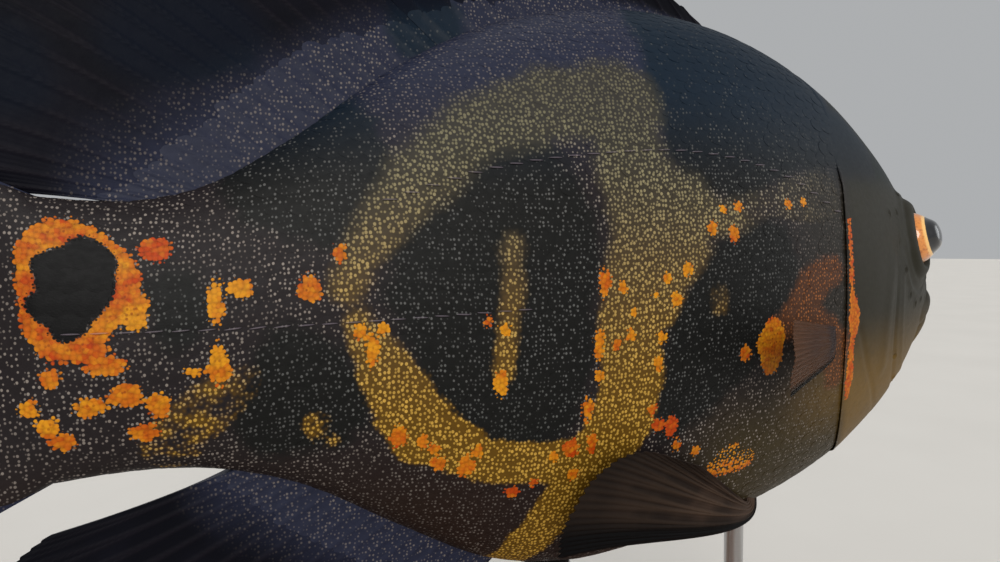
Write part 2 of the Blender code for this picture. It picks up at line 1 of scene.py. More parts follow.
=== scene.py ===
"""Looks of the oscar fish museum model: skin, scales, eyes, fins, stand, floor, light and camera.

Everything on the fish is worked out on the straight fish, whose snout tip is at x = 0 and whose
tail base is at x = -body_length, with the right side towards -Y. FishShape.in_place bends its
spine and lifts it over the stand. Places along the fish are percents of its length from the
snout, and angles round it are degrees from the top of the back over the right side. Lengths
are in metres, or in millimetres where a name ends in _mm.
"""

from __future__ import annotations

import logging
import math
from dataclasses import dataclass, field
from enum import Enum
from typing import Callable

import bpy
import numpy as np
from mathutils import Matrix


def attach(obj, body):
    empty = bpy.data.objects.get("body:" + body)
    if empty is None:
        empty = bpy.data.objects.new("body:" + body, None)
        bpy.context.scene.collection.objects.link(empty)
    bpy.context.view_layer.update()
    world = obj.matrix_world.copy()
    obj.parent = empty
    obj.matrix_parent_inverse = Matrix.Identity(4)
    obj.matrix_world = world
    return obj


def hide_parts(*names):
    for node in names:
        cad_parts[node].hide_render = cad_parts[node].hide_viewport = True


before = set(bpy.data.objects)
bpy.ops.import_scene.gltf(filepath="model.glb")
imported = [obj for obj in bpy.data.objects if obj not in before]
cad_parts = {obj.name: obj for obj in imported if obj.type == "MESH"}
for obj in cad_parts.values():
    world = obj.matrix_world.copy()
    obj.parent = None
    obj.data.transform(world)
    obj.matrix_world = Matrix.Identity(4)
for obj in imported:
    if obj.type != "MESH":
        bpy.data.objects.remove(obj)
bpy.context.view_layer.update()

LOG = logging.getLogger("oscar")
MM = 0.001
Socket = bpy.types.NodeSocket


def paint(red: float, green: float, blue: float) -> tuple[float, float, float, float]:
    """Linear colour from display values of 0 to 255."""
    return tuple((value / 255) ** 2.2 for value in (red, green, blue)) + (1.0,)


def smooth_curve(x: np.ndarray, knots: list[float], values: list[float]) -> np.ndarray:
    """Cubic curve through knots, each slope weighed from its two neighbouring runs.

    Args:
        x: where the curve is read; outside the knots it keeps its end value.
        knots: rising places.
        values: value at each knot.

    Returns:
        The curve's values, of the shape of x.
    """
    knots = np.asarray(knots, float)
    values = np.asarray(values, float)
    step = np.diff(knots)
    rise = np.diff(values) / step
    slope = np.empty_like(values)
    slope[0], slope[-1] = rise[0], rise[-1]
    slope[1:-1] = (rise[:-1] * step[1:] + rise[1:] * step[:-1]) / (step[1:] + step[:-1])
    x = np.clip(x, knots[0], knots[-1])
    i = np.clip(np.searchsorted(knots, x, side="right") - 1, 0, len(step) - 1)
    t = (x - knots[i]) / step[i]
    start = (2 * t**3 - 3 * t**2 + 1) * values[i] + (t**3 - 2 * t**2 + t) * step[i] * slope[i]
    end = (3 * t**2 - 2 * t**3) * values[i + 1] + (t**3 - t**2) * step[i] * slope[i + 1]
    return start + end


def smooth_step(x: np.ndarray, low: float, high: float) -> np.ndarray:
    """0 below low, 1 above high, and a smooth rise between; low may be above high."""
    t = np.clip((x - low) / (high - low), 0, 1)
    return t * t * (3 - 2 * t)


def hump(distance: np.ndarray, width: float) -> np.ndarray:
    """Bell curve: 1 at distance 0 and about a third at one width."""
    return np.exp(-((distance / width) ** 2))


def unit(vectors: np.ndarray) -> np.ndarray:
    """The vectors at length 1."""
    return vectors / np.linalg.norm(vectors, axis=-1, keepdims=True)


def read_grid(grid: np.ndarray, i: np.ndarray, j: np.ndarray) -> np.ndarray:
    """A grid's numbers or vectors between its four nearest entries."""
    low_i = np.clip(np.floor(i).astype(int), 0, grid.shape[0] - 2)
    low_j = np.clip(np.floor(j).astype(int), 0, grid.shape[1] - 2)
    a, b = np.clip(i - low_i, 0, 1), np.clip(j - low_j, 0, 1)
    if grid.ndim > 2:
        a, b = a[..., None], b[..., None]
    near = grid[low_i, low_j] * (1 - b) + grid[low_i, low_j + 1] * b
    far = grid[low_i + 1, low_j] * (1 - b) + grid[low_i + 1, low_j + 1] * b
    return near * (1 - a) + far * a


def run_gap(x: np.ndarray, z: np.ndarray, start: tuple, end: tuple) -> tuple[np.ndarray, np.ndarray]:
    """Share along a straight run where it is nearest to each point, and the distance to it there."""
    along, up = end[0] - start[0], end[1] - start[1]
    share = np.clip(((x - start[0]) * along + (z - start[1]) * up) / (along**2 + up**2), 0, 1)
    return share, np.hypot(x - start[0] - along * share, z - start[1] - up * share)


@dataclass(frozen=True)
class FishShape:
    """The straight fish's outline, its gill cover's edge, and the bend of its spine."""

    body_length: float = 0.240
    snout_ahead: float = 0.1496
    axis_height: float = 0.136
    head_swing: float = math.radians(7.3)
    tail_swing: float = math.radians(-1.0)
    station: tuple = (0, 1.5, 4, 8, 14, 20, 28, 36, 44, 52, 60, 68, 76, 84, 90, 96, 100)
    back: tuple = (-1.2, 3.3, 7.1, 11.7, 17.0, 20.9, 25.0, 27.8, 29.2, 29.3, 28.0, 25.2, 20.5, 14.4,
                   10.7, 9.4, 9.6)
    belly: tuple = (-1.2, -5.5, -8.5, -12.0, -16.1, -19.1, -22.0, -23.9, -25.0, -25.6, -25.5, -23.3,
                    -18.5, -13.4, -11.2, -10.5, -10.6)
    half_width: tuple = (0, 3.8, 5.8, 7.4, 9.2, 10.7, 12.1, 12.5, 12.3, 11.4, 10.2, 8.6, 6.9, 5.2, 4.2,
                         3.1, 2.3)
    widest_level: float = 0.47
    side_fullness: float = 0.92
    back_fullness: float = 1.05
    belly_fullness: float = 0.95
    scaly_end: float = 104.6
    scaly_fan: float = math.tan(math.radians(25))
    gill_angle: tuple = (0, 40, 60, 85, 110, 130, 150, 165, 180)
    gill_edge_at: tuple = (31.0, 30.8, 32.2, 33.2, 32.4, 29.8, 25.6, 22.4, 21.6)
    flare_from: float = 52.0
    flare_to: float = 160.0

    @property
    def percent(self) -> float:
        """One percent of the body length."""
        return self.body_length / 100

    def outline(self, place: np.ndarray) -> tuple[np.ndarray, np.ndarray, np.ndarray]:
        """Height of back and belly and the half width at a place.

        The curves run over the root of the distance from the snout, which rounds the nose.
        Past the tail base the scaly root of the tail fin fans out and thins to an edge.
        """
        root = np.sqrt(np.clip(place, 0, 100))
        knots = np.sqrt(self.station)
        back, belly, half = (smooth_curve(root, knots, row) * self.percent
                             for row in (self.back, self.belly, self.half_width))
        over = np.clip(np.asarray(place) - 100, 0, self.scaly_end - 100)
        fan = over * self.percent * self.scaly_fan
        thin = (1 - over / (self.scaly_end - 100 + 0.1)) ** 1.1
        return back + fan, belly - fan, half * thin + 0.0003 * np.minimum(over, 1)

    def point(self, place: np.ndarray, angle: np.ndarray) -> np.ndarray:
        """Point of the skin: a rounded section, fuller or slimmer by powers of sine and cosine."""
        place, angle = np.broadcast_arrays(np.asarray(place, float), np.radians(angle))
        back, belly, half = self.outline(place)
        level = belly + (back - belly) * self.widest_level
        up, side = np.cos(angle), np.sin(angle)
        y = -half * np.sign(side) * np.abs(side) ** self.side_fullness
        above = level + (back - level) * np.abs(up) ** self.back_fullness
        below = level - (level - belly) * np.abs(up) ** self.belly_fullness
        return np.stack([-place * self.percent, y, np.where(up > 0, above, below)], -1)

    def flank_angle(self, place: np.ndarray, height: np.ndarray) -> np.ndarray:
        """Angle at which the right side of a place reaches a height."""
        back, belly, _ = self.outline(place)
        level = belly + (back - belly) * self.widest_level
        above = np.clip((height - level) / (back - level), 0, 1) ** (1 / self.back_fullness)
        below = np.clip((level - height) / (level - belly), 0, 1) ** (1 / self.belly_fullness)
        return np.degrees(np.arccos(np.where(height > level, above, -below)))

    def normal(self, place: np.ndarray, angle: np.ndarray) -> np.ndarray:
        """Outward direction of the skin, from two short steps along it."""
        here = self.point(place, angle)
        along = self.point(np.asarray(place) + 0.2, angle) - here
        around = self.point(place, np.asarray(angle) + 1.0) - here
        return unit(np.cross(along, around))

    def gill_edge(self, angle: np.ndarray) -> np.ndarray:
        """Place of the gill cover's rear edge at an angle, alike on both sides."""
        return smooth_curve(folded(angle), self.gill_angle, self.gill_edge_at)

    def gill_flare(self, angle: np.ndarray) -> np.ndarray:
        """How far the gill cover's edge stands free, 0 to 1, at an angle."""
        fold = folded(angle)
        return smooth_step(fold, self.flare_from, self.flare_from + 14) * smooth_step(
            fold, self.flare_to, self.flare_to - 14)

    def in_place(self, points: np.ndarray) -> np.ndarray:
        """Bends straight-fish points along two arcs from mid body and lifts them over the stand."""
        half = 0.5 * self.body_length
        ahead = points[..., 0] + half
        front, rear = np.maximum(ahead, 0), np.maximum(-ahead, 0)
        head_curve, tail_curve = self.head_swing / half, self.tail_swing / half
        heading = head_curve * front - tail_curve * rear
        x = np.sin(head_curve * front) / head_curve - np.sin(tail_curve * rear) / tail_curve - half
        y = ((1 - np.cos(head_curve * front)) / head_curve
             + (1 - np.cos(tail_curve * rear)) / tail_curve)
        side = points[..., 1]
        bent = np.stack([x - side * np.sin(heading), y + side * np.cos(heading), points[..., 2]], -1)
        return bent + np.array([self.snout_ahead, 0.0, self.axis_height])


def folded(angle: np.ndarray) -> np.ndarray:
    """Angle from the top of the back over either side, 0 to 180."""
    return np.abs((np.asarray(angle) + 180.0) % 360.0 - 180.0)


FISH = FishShape()
MIRROR = np.array([1.0, -1.0, 1.0])


class GirthMap:
    """Turns distance round the body into an angle and back, by a table over the straight fish.

    The distance is measured on the skin from the line of the widest level, up positive.
    """

    def __init__(self) -> None:
        """Measures the rings of one side and turns the table round."""
        self.places = np.linspace(0.25, FISH.scaly_end, 240)
        self.angles = np.linspace(0, 180, 241)
        ring = FISH.point(self.places[:, None], self.angles[None])
        arc = np.cumsum(np.linalg.norm(np.diff(ring, axis=1), axis=-1), axis=1)
        arc = np.concatenate([np.zeros((len(arc), 1)), arc], axis=1)
        middle = arc[:, len(self.angles) // 2]
        self.rise = middle[:, None] - arc
        self.reach = np.linspace(-0.105, 0.105, 421)
        rows = [np.interp(mid - self.reach, row, self.angles) for mid, row in zip(middle, arc)]
        self.angle_table = np.array(rows)

    def _row(self, place: np.ndarray) -> np.ndarray:
        """Row of the tables at a place."""
        return (place - self.places[0]) / (self.places[1] - self.places[0])

    def angle(self, place: np.ndarray, rise: np.ndarray) -> np.ndarray:
        """Angle on one side at a distance from the widest level."""
        column = (rise - self.reach[0]) / (self.reach[1] - self.reach[0])
        return read_grid(self.angle_table, self._row(place), column)

    def distance(self, place: np.ndarray, angle: np.ndarray) -> np.ndarray:
        """Distance from the widest level at an angle."""
        column = folded(angle) / (self.angles[1] - self.angles[0])
        return read_grid(self.rise, self._row(place), column)


GIRTH = GirthMap()


@dataclass(frozen=True)
class Spot:
    """A flat mark: an ellipse with a wavy edge.

    place is in percents, the other sizes in millimetres. warmth runs from yellow, 0, to red, 1.
    cap keeps the mark shallow, so that only stipples of it show.
    """

    place: float
    height: float
    half_long: float
    half_tall: float
    warmth: float = 0.4
    cap: float = 9.0

    def depth(self, x_mm: np.ndarray, z_mm: np.ndarray) -> np.ndarray:
        """How far inside the mark a point is, in millimetres, negative outside."""
        along = x_mm - self.place * FISH.percent / MM
        up = z_mm - self.height
        small = min(self.half_long, self.half_tall)
        reach = np.sqrt((along / self.half_long) ** 2 + (up / self.half_tall) ** 2)
        wave = 0.10 * np.cos(3 * np.arctan2(up, along) + self.place) * np.minimum(reach, 1)
        return np.minimum((1 - reach + wave) * small, self.cap)


@dataclass(frozen=True)
class Band:
    """A flat mark along a line: (place, height, half width) at each of its points.

    cap keeps the mark shallow, so that it stays faint.
    """

    line: tuple
    cap: float = 99.0

    def depth(self, x_mm: np.ndarray, z_mm: np.ndarray) -> np.ndarray:
        """How far inside the mark a point is: half width less distance to the nearest run."""
        best = np.full(np.shape(x_mm), -99.0)
        scale = FISH.percent / MM
        for (p0, h0, w0), (p1, h1, w1) in zip(self.line, self.line[1:]):
            share, gap = run_gap(x_mm, z_mm, (p0 * scale, h0), (p1 * scale, h1))
            best = np.maximum(best, w0 + (w1 - w0) * share - gap)
        return np.minimum(best, self.cap)


@dataclass(frozen=True)
class Markings:
    """The flank's marks: gold bars, black blotches, orange rosettes and the tail's eye spot."""

    gold: tuple = (
        Band(((57.6, 43, 8.0), (57.0, 30, 8.0), (56.2, 17, 7.0), (57.3, 7, 7.0), (57.9, 0, 7.0),
              (57.7, -12, 7.0), (58.2, -22, 7.5), (60.6, -32, 7.0), (63.4, -42, 5.5), (66.5, -56, 4.5))),
        Band(((80.4, 7, 3.0), (78.2, 17, 4.2), (74.6, 27, 6.0), (70.0, 36.5, 6.0), (64.0, 42, 7.5),
              (57.0, 43, 9.0))),
        Band(((79.6, 0, 2.5), (77.8, -8, 4.8), (76.3, -16, 6.0), (74.6, -22, 6.0), (70.0, -28, 4.5),
              (65.0, -30, 4.5), (60.8, -31, 6.0))),
        Band(((67.8, 14, 1.8), (68.1, 4, 2.0), (68.6, -4, 2.3), (68.7, -11, 1.4))),
        Band(((87.5, -9, 2.5), (90.5, -14, 4.5), (92.5, -20, 4.5)), -0.15),
        Band(((82.8, -18, 2.0), (82.2, -21, 2.0)), -0.2),
        Band(((52.5, 22, 7.0), (52.6, 13.5, 6.5), (54.4, 7, 5.0), (55.4, 0, 4.2))),
        Band(((57.0, 28, 8.0), (53.5, 24.0, 6.0), (50.0, 19.5, 4.5), (47.0, 18.8, 2.6))),
        Band(((47.5, 19.5, 3.0), (43.5, 22.5, 2.2), (40.0, 23.5, 4.0), (36.0, 24.5, 5.0)), -0.35),
        Band(((49.2, 2.6, 1.6), (49.3, 0.4, 1.6)), 0.0),
    )
    rust: tuple = (
        Band(((41.6, -4.5, 3.5), (39.4, 0.5, 5.0), (37.4, 5.0, 4.5), (35.0, 7.0, 3.0))),
        Band(((38.0, -6.0, 6.0), (34.5, -12.0, 5.0), (34.0, -18.0, 3.5))),
    )
    black: tuple = (
        Spot(68.6, 4, 19.5, 31.0),
        Band(((43.3, 13.5, 5.5), (44.6, 8, 10.0), (46.4, 2, 13.5), (50.0, -8, 11.5), (52.0, -17, 8),
              (53.5, -24, 4))),
        Band(((48.5, 62, 13), (48.5, 46, 13), (49.0, 36, 11), (46.5, 33, 9.5), (41.0, 40, 11),
              (35.0, 41, 9.5), (29.0, 39, 9), (26.0, 37, 6))),
        Spot(39.0, 64, 26, 22),
        Spot(83.7, -13, 10.5, 11.5),
        Spot(91.6, 4.0, 4.6, 6.5),
        Spot(82.4, 29, 14.0, 15.5),
    )
    core: tuple = (Spot(97.8, 7.8, 5.5, 6.6), Spot(97.0, 11.8, 3.8, 4.2), Spot(99.1, 5.0, 3.4, 2.8),
                   Spot(98.2, 1.8, 2.8, 2.4), Spot(98.9, 11.0, 2.9, 2.8))
    orange: tuple = tuple(Spot(*row) for row in (
        (97.75, 8.0, 8.5, 11.4, 0.55), (94.4, 3.6, 2.6, 3.2, 0.15), (92.9, 14.0, 2.4, 1.8, 0.7),
        (97.3, -2.6, 3.2, 1.4, 0.4), (89.3, 4.6, 1.3, 3.7, 0.12), (87.7, 7.0, 2.0, 1.6, 0.12),
        (83.0, 6.5, 1.9, 2.5, 0.45), (80.8, 13.0, 1.2, 1.7, 0.6), (89.2, -5.8, 1.8, 3.6, 0.35),
        (90.9, -6.8, 1.4, 1.0, 0.35), (78.7, -4.6, 1.3, 3.0, 0.3), (79.5, -1.2, 1.1, 1.4, 0.25),
        (77.9, -1.0, 1.1, 1.3, 0.2), (99.3, -6.5, 1.4, 1.5, 0.45), (96.1, -5.0, 2.8, 1.7, 0.5),
        (97.2, -11.6, 2.6, 1.6, 0.4), (95.0, -10.0, 2.4, 2.0, 0.4), (93.1, -12.0, 1.8, 2.4, 0.5),
        (94.1, -17.0, 2.2, 1.5, 0.5), (100.7, -11.4, 1.6, 1.5, 0.3), (99.7, -14.4, 1.9, 1.8, 0.35),
        (98.9, -17.4, 1.7, 1.5, 0.4), (70.0, -0.6, 0.9, 1.2, 0.85), (68.6, -2.2, 1.3, 1.4, 0.15),
        (69.0, -12.8, 1.3, 2.4, 0.1), (60.2, 6.0, 1.2, 3.0, 0.55), (58.6, 5.0, 0.9, 1.2, 0.2),
        (60.7, -6.0, 1.1, 3.0, 0.3), (59.2, -6.0, 0.9, 1.3, 0.55), (60.7, -12.6, 1.1, 1.6, 0.5),
        (61.6, -19.0, 1.2, 2.9, 0.55), (61.0, -26.2, 1.1, 2.3, 0.65), (62.8, -27.2, 1.7, 2.0, 0.7),
        (62.4, -33.0, 1.5, 1.6, 0.8), (64.3, -28.8, 1.2, 1.2, 0.5), (55.6, -20.6, 1.2, 1.4, 0.95),
        (54.8, -24.2, 1.5, 1.7, 0.95), (53.4, -25.0, 1.3, 2.4, 0.95), (52.6, -29.6, 1.1, 1.7, 0.75),
        (50.4, -31.5, 1.2, 1.3, 0.5), (76.8, -21.6, 1.5, 2.1, 0.5), (75.0, -23.2, 0.9, 1.3, 0.4),
        (73.7, -28.0, 1.6, 1.5, 0.6), (74.0, -25.0, 1.0, 1.2, 0.5), (71.5, -29.0, 1.7, 2.4, 0.55),
        (70.6, -26.0, 1.1, 1.5, 0.4), (67.5, -35.8, 1.3, 1.3, 0.8), (65.8, -34.0, 0.9, 1.1, 0.8),
        (49.7, 16.8, 1.1, 1.5, 0.3), (47.5, 15.8, 1.3, 1.7, 0.5), (48.5, 21.0, 0.9, 0.9, 0.2),
        (46.8, 21.5, 1.0, 1.1, 0.25), (41.0, 22.3, 0.9, 0.9, 0.1), (38.9, 22.8, 0.9, 0.9, 0.1),
        (52.4, 8.4, 1.2, 1.4, 0.15), (54.4, 6.8, 0.9, 1.1, 0.1), (53.6, 2.4, 1.2, 1.5, 0.1),
        (55.6, 3.5, 0.9, 0.9, 0.2), (54.9, -5.6, 1.2, 1.4, 0.15), (55.2, -10.7, 1.0, 1.4, 0.2),
        (57.6, 0.0, 0.9, 0.9, 0.1), (57.9, -4.5, 0.9, 1.2, 0.1), (46.3, -10.2, 1.2, 1.6, 0.3),
        (43.4, -9.0, 3.8, 6.2, 0.4), (46.0, -35.5, 6.5, 3.6, 0.35, 0.04),
    ))
    gill_strip: Band = Band(((0.35, 19, 0.5), (0.45, 2, 0.8), (1.0, -3, 2.2), (1.1, -7, 2.2),
                             (0.8, -9.5, 0.9), (0.9, -20, 1.6), (0.7, -25, 0.8)))
    fin_black: tuple = (Spot(91.0, 53.0, 12.0, 9.0), Spot(101.5, 43.0, 6.0, 7.0), Spot(72.3, 61.0, 8.0, 7.5))
    left_seed: int = 11
    left_move_mm: float = 1.1
    veil_share: float = 0.55

    def fin_layers(self, points: np.ndarray) -> dict[str, np.ndarray]:
        """What a fin's material reads at straight-fish points: the fin's blotches and the lie."""
        x_mm, side, z_mm = -points[:, 0] / MM, points[:, 1] / MM, points[:, 2] / MM
        black = np.max([spot.depth(x_mm, z_mm) for spot in self.fin_black], axis=0)
        nothing = np.full(black.shape, -99.0)
        marks = np.stack([nothing, black, nothing], -1)
        return {"marks": marks, "lie": np.stack([x_mm, z_mm, 20 + side], -1)}

    def layers(self, place: np.ndarray, angle: np.ndarray) -> dict[str, np.ndarray]:
        """What the skin's material reads at each point.

        marks holds the depth in the gold bars, the black blotches and the orange marks; mood
        the orange's warmth, the gold's strength and how far the point is on the bare head; hue
        the blue of the back, the brown of the belly and the eye spot's black core; tone the
        depth in the rust-brown patch, and how far the point is on the chest and low on the
        head; lie the distance along and round the body in millimetres, with the side last.
        """
        side = np.where((np.asarray(angle) % 360) <= 180, 1.0, -1.0)
        z_mm = FISH.point(place, angle)[..., 2] / MM
        left = side < 0
        shifted = place + np.where(left, 0.5 * np.sin(z_mm / 9 + 1) - 0.4, 0)
        z_bent = z_mm + np.where(left, 1.3 * np.sin(place / 5), 0)
        x_mm = shifted * FISH.percent / MM
        gold = np.max([band.depth(x_mm, z_bent) for band in self.gold], axis=0)
        black = np.max([mark.depth(x_mm, z_bent) for mark in self.black], axis=0)
        orange = np.full(x_mm.shape, -99.0)
        warmth = np.zeros(x_mm.shape)
        draw = np.random.default_rng(self.left_seed)
        for spot in self.orange:
            move = draw.normal(0, self.left_move_mm, 2) if spot.half_long < 4 else np.zeros(2)
            size = draw.uniform(-0.5, 0.35) if spot.half_long < 4 else 0.0
            depth = spot.depth(x_mm + left * move[0], z_bent + left * move[1]) + left * size
            warmth = np.where(depth > orange, spot.warmth, warmth)
            orange = np.maximum(orange, depth)
        ahead = (FISH.gill_edge(angle) - place) * FISH.percent / MM
        strip = self.gill_strip.depth(ahead, z_mm)
        strip = np.where((ahead > -0.6) & (folded(angle) > 40), strip, -9)
        warmth = np.where(strip > orange, 0.75, warmth)
        orange = np.maximum(orange, strip)
        core = np.max([spot.depth(x_mm, z_bent) for spot in self.core], axis=0)
        orange = np.minimum(orange, -core)
        veil = self.veil_share * smooth_step(ahead, -28.0, -3.0) * smooth_step(z_mm, -40, -22)
        bare = veil + (1 - veil) * smooth_step(ahead, -1.5, 4.0)
        strength = smooth_step(z_mm, 36, -24)
        blue = smooth_step(z_mm, 22, 50)
        brown = smooth_step(z_mm, -14, -40) * smooth_step(place, 50, 75)
        rust = np.max([band.depth(x_mm, z_bent) for band in self.rust], axis=0)
        chest = smooth_step(z_mm, -12, -34) * smooth_step(place, 56, 44)
        low = smooth_step(z_mm, -2, -26)
        girth = GIRTH.distance(place, angle) / MM
        depth = side * 40 * np.sin(np.radians(folded(angle)))
        return {
            "marks": np.stack([gold, black, orange], -1),
            "mood": np.stack([warmth, strength, bare], -1),
            "hue": np.stack([blue, brown, core], -1),
            "tone": np.stack([rust, chest, low], -1),
            "lie": np.stack([place * FISH.percent / MM, girth, depth], -1),
        }


MARKINGS = Markings()


@dataclass
class Surface:
    """Points and three-cornered faces of one piece, with what its material reads at each point."""

    points: np.ndarray
    faces: np.ndarray
    layers: dict[str, np.ndarray] = field(default_factory=dict)
    bake_map: np.ndarray | None = None

    def joined(self, other: "Surface") -> "Surface":
        """This surface and another as one."""
        layers = {name: np.concatenate([values, other.layers[name]]) for name, values in self.layers.items()}
        faces = np.concatenate([self.faces, other.faces + len(self.points)])
        return Surface(np.concatenate([self.points, other.points]), faces, layers)

    def facing_out(self) -> "Surface":
        """The same surface, turned round where its enclosed volume comes out negative."""
        a, b, c = (self.points[self.faces[:, k]] for k in range(3))
        if np.einsum("ij,ij->", a, np.cross(b, c)) < 0:
            self.faces = self.faces[:, ::-1].copy()
        return self

    def to_object(self, name: str, material: bpy.types.Material, sharp: float = 60.0) -> bpy.types.Object:
        """Mesh object of the surface.

        Args:
            name: the piece's name.
            material: its finish.
            sharp: angle in degrees over which an edge stays sharp.

        Returns:
            The object, at the origin.
        """
        mesh = bpy.data.meshes.new(name)
        mesh.vertices.add(len(self.points))
        mesh.vertices.foreach_set("co", self.points.astype(np.float32).ravel())
        mesh.loops.add(self.faces.size)
        mesh.loops.foreach_set("vertex_index", self.faces.astype(np.int32).ravel())
        mesh.polygons.add(len(self.faces))
        mesh.polygons.foreach_set("loop_start", np.arange(0, self.faces.size, 3, dtype=np.int32))
        mesh.update(calc_edges=True)
        for layer, values in self.layers.items():
            data = mesh.attributes.new(layer, "FLOAT_VECTOR", "POINT").data
            data.foreach_set("vector", values.astype(np.float32).ravel())
        if self.bake_map is not None:
            corners = self.bake_map[self.faces.ravel()]
            mesh.uv_layers.new(name="OFBake").data.foreach_set("uv", corners.astype(np.float32).ravel())
        mesh.materials.append(material)
        mesh.shade_smooth()
        mesh.set_sharp_from_angle(angle=math.radians(sharp))
        item = bpy.data.objects.new(name, mesh)
        bpy.context.scene.collection.objects.link(item)
        return item


def grid_faces(rows: int, columns: int, closed: bool) -> np.ndarray:
    """Faces of a grid of points, each four-sided cell parted along the same diagonal."""
    i, j = np.meshgrid(np.arange(rows - 1), np.arange(columns if closed else columns - 1), indexing="ij")
    k = (j + 1) % columns
    a, b = i * columns + j, i * columns + k
    c, d = a + columns, b + columns
    return np.concatenate([np.stack([a, b, d], -1).reshape(-1, 3), np.stack([a, d, c], -1).reshape(-1, 3)])


def grid_rim(rows: int, columns: int) -> np.ndarray:
    """Numbers of the points round an open grid, in order."""
    index = np.arange(rows * columns).reshape(rows, columns)
    return np.concatenate([index[0, :-1], index[:-1, -1], index[-1, :0:-1], index[:0:-1, 0]])


def repeated(faces: np.ndarray, copies: int, points_each: int) -> np.ndarray:
    """Faces of several like pieces, whose points follow one another."""
    return (faces[None] + (np.arange(copies) * points_each)[:, None, None]).reshape(-1, 3)


def capped_grid(grid: np.ndarray, first: np.ndarray | None = None, last: np.ndarray | None = None) -> Surface:
    """Closed surface from rings of points, with a fan to a point at each end, by default its middle."""
    rows, columns = grid.shape[:2]
    first = grid[0].mean(0) if first is None else first
    last = grid[-1].mean(0) if last is None else last
    points = np.concatenate([grid.reshape(-1, 3), first[None], last[None]])
    j = np.arange(columns)
    k = (j + 1) % columns
    start, end = rows * columns, rows * columns + 1
    base = (rows - 1) * columns
    fans = np.concatenate([np.stack([np.full(columns, start), k, j], -1),
                           np.stack([np.full(columns, end), base + j, base + k], -1)])
    return Surface(points, np.concatenate([grid_faces(rows, columns, True), fans]))


def with_ends(values: np.ndarray) -> np.ndarray:
    """A grid's values as one row each, with its first and last repeated for the two end points."""
    flat = values.reshape(-1, *values.shape[2:])
    return np.concatenate([flat, flat[:1], flat[-1:]])


def show(item: bpy.types.Object, slot: str, *nodes: str) -> None:
    """Sets a finished piece on the root body and hides the nodes that it stands for."""
    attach(item, "root")
    if nodes:
        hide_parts(*nodes)
    LOG.info("%s: %d faces", item.name, len(item.data.polygons))


@dataclass(frozen=True)
class Signal:
    """A number of a shader tree, with which sums are written as with plain numbers."""

    bench: Bench
    socket: Socket

    def __add__(self, other: object) -> Signal:
        """Both added."""
        return self.bench.math("ADD", self, other)

    def __sub__(self, other: object) -> Signal:
        """This less the other."""
        return self.bench.math("SUBTRACT", self, other)

    def __rsub__(self, other: object) -> Signal:
        """The other less this."""
        return self.bench.math("SUBTRACT", other, self)

    def __mul__(self, other: object) -> Signal:
        """Both multiplied."""
        return self.bench.math("MULTIPLY", self, other)

    def held(self) -> Signal:
        """The same sum, held between 0 and 1."""
        self.socket.node.use_clamp = True
        return self


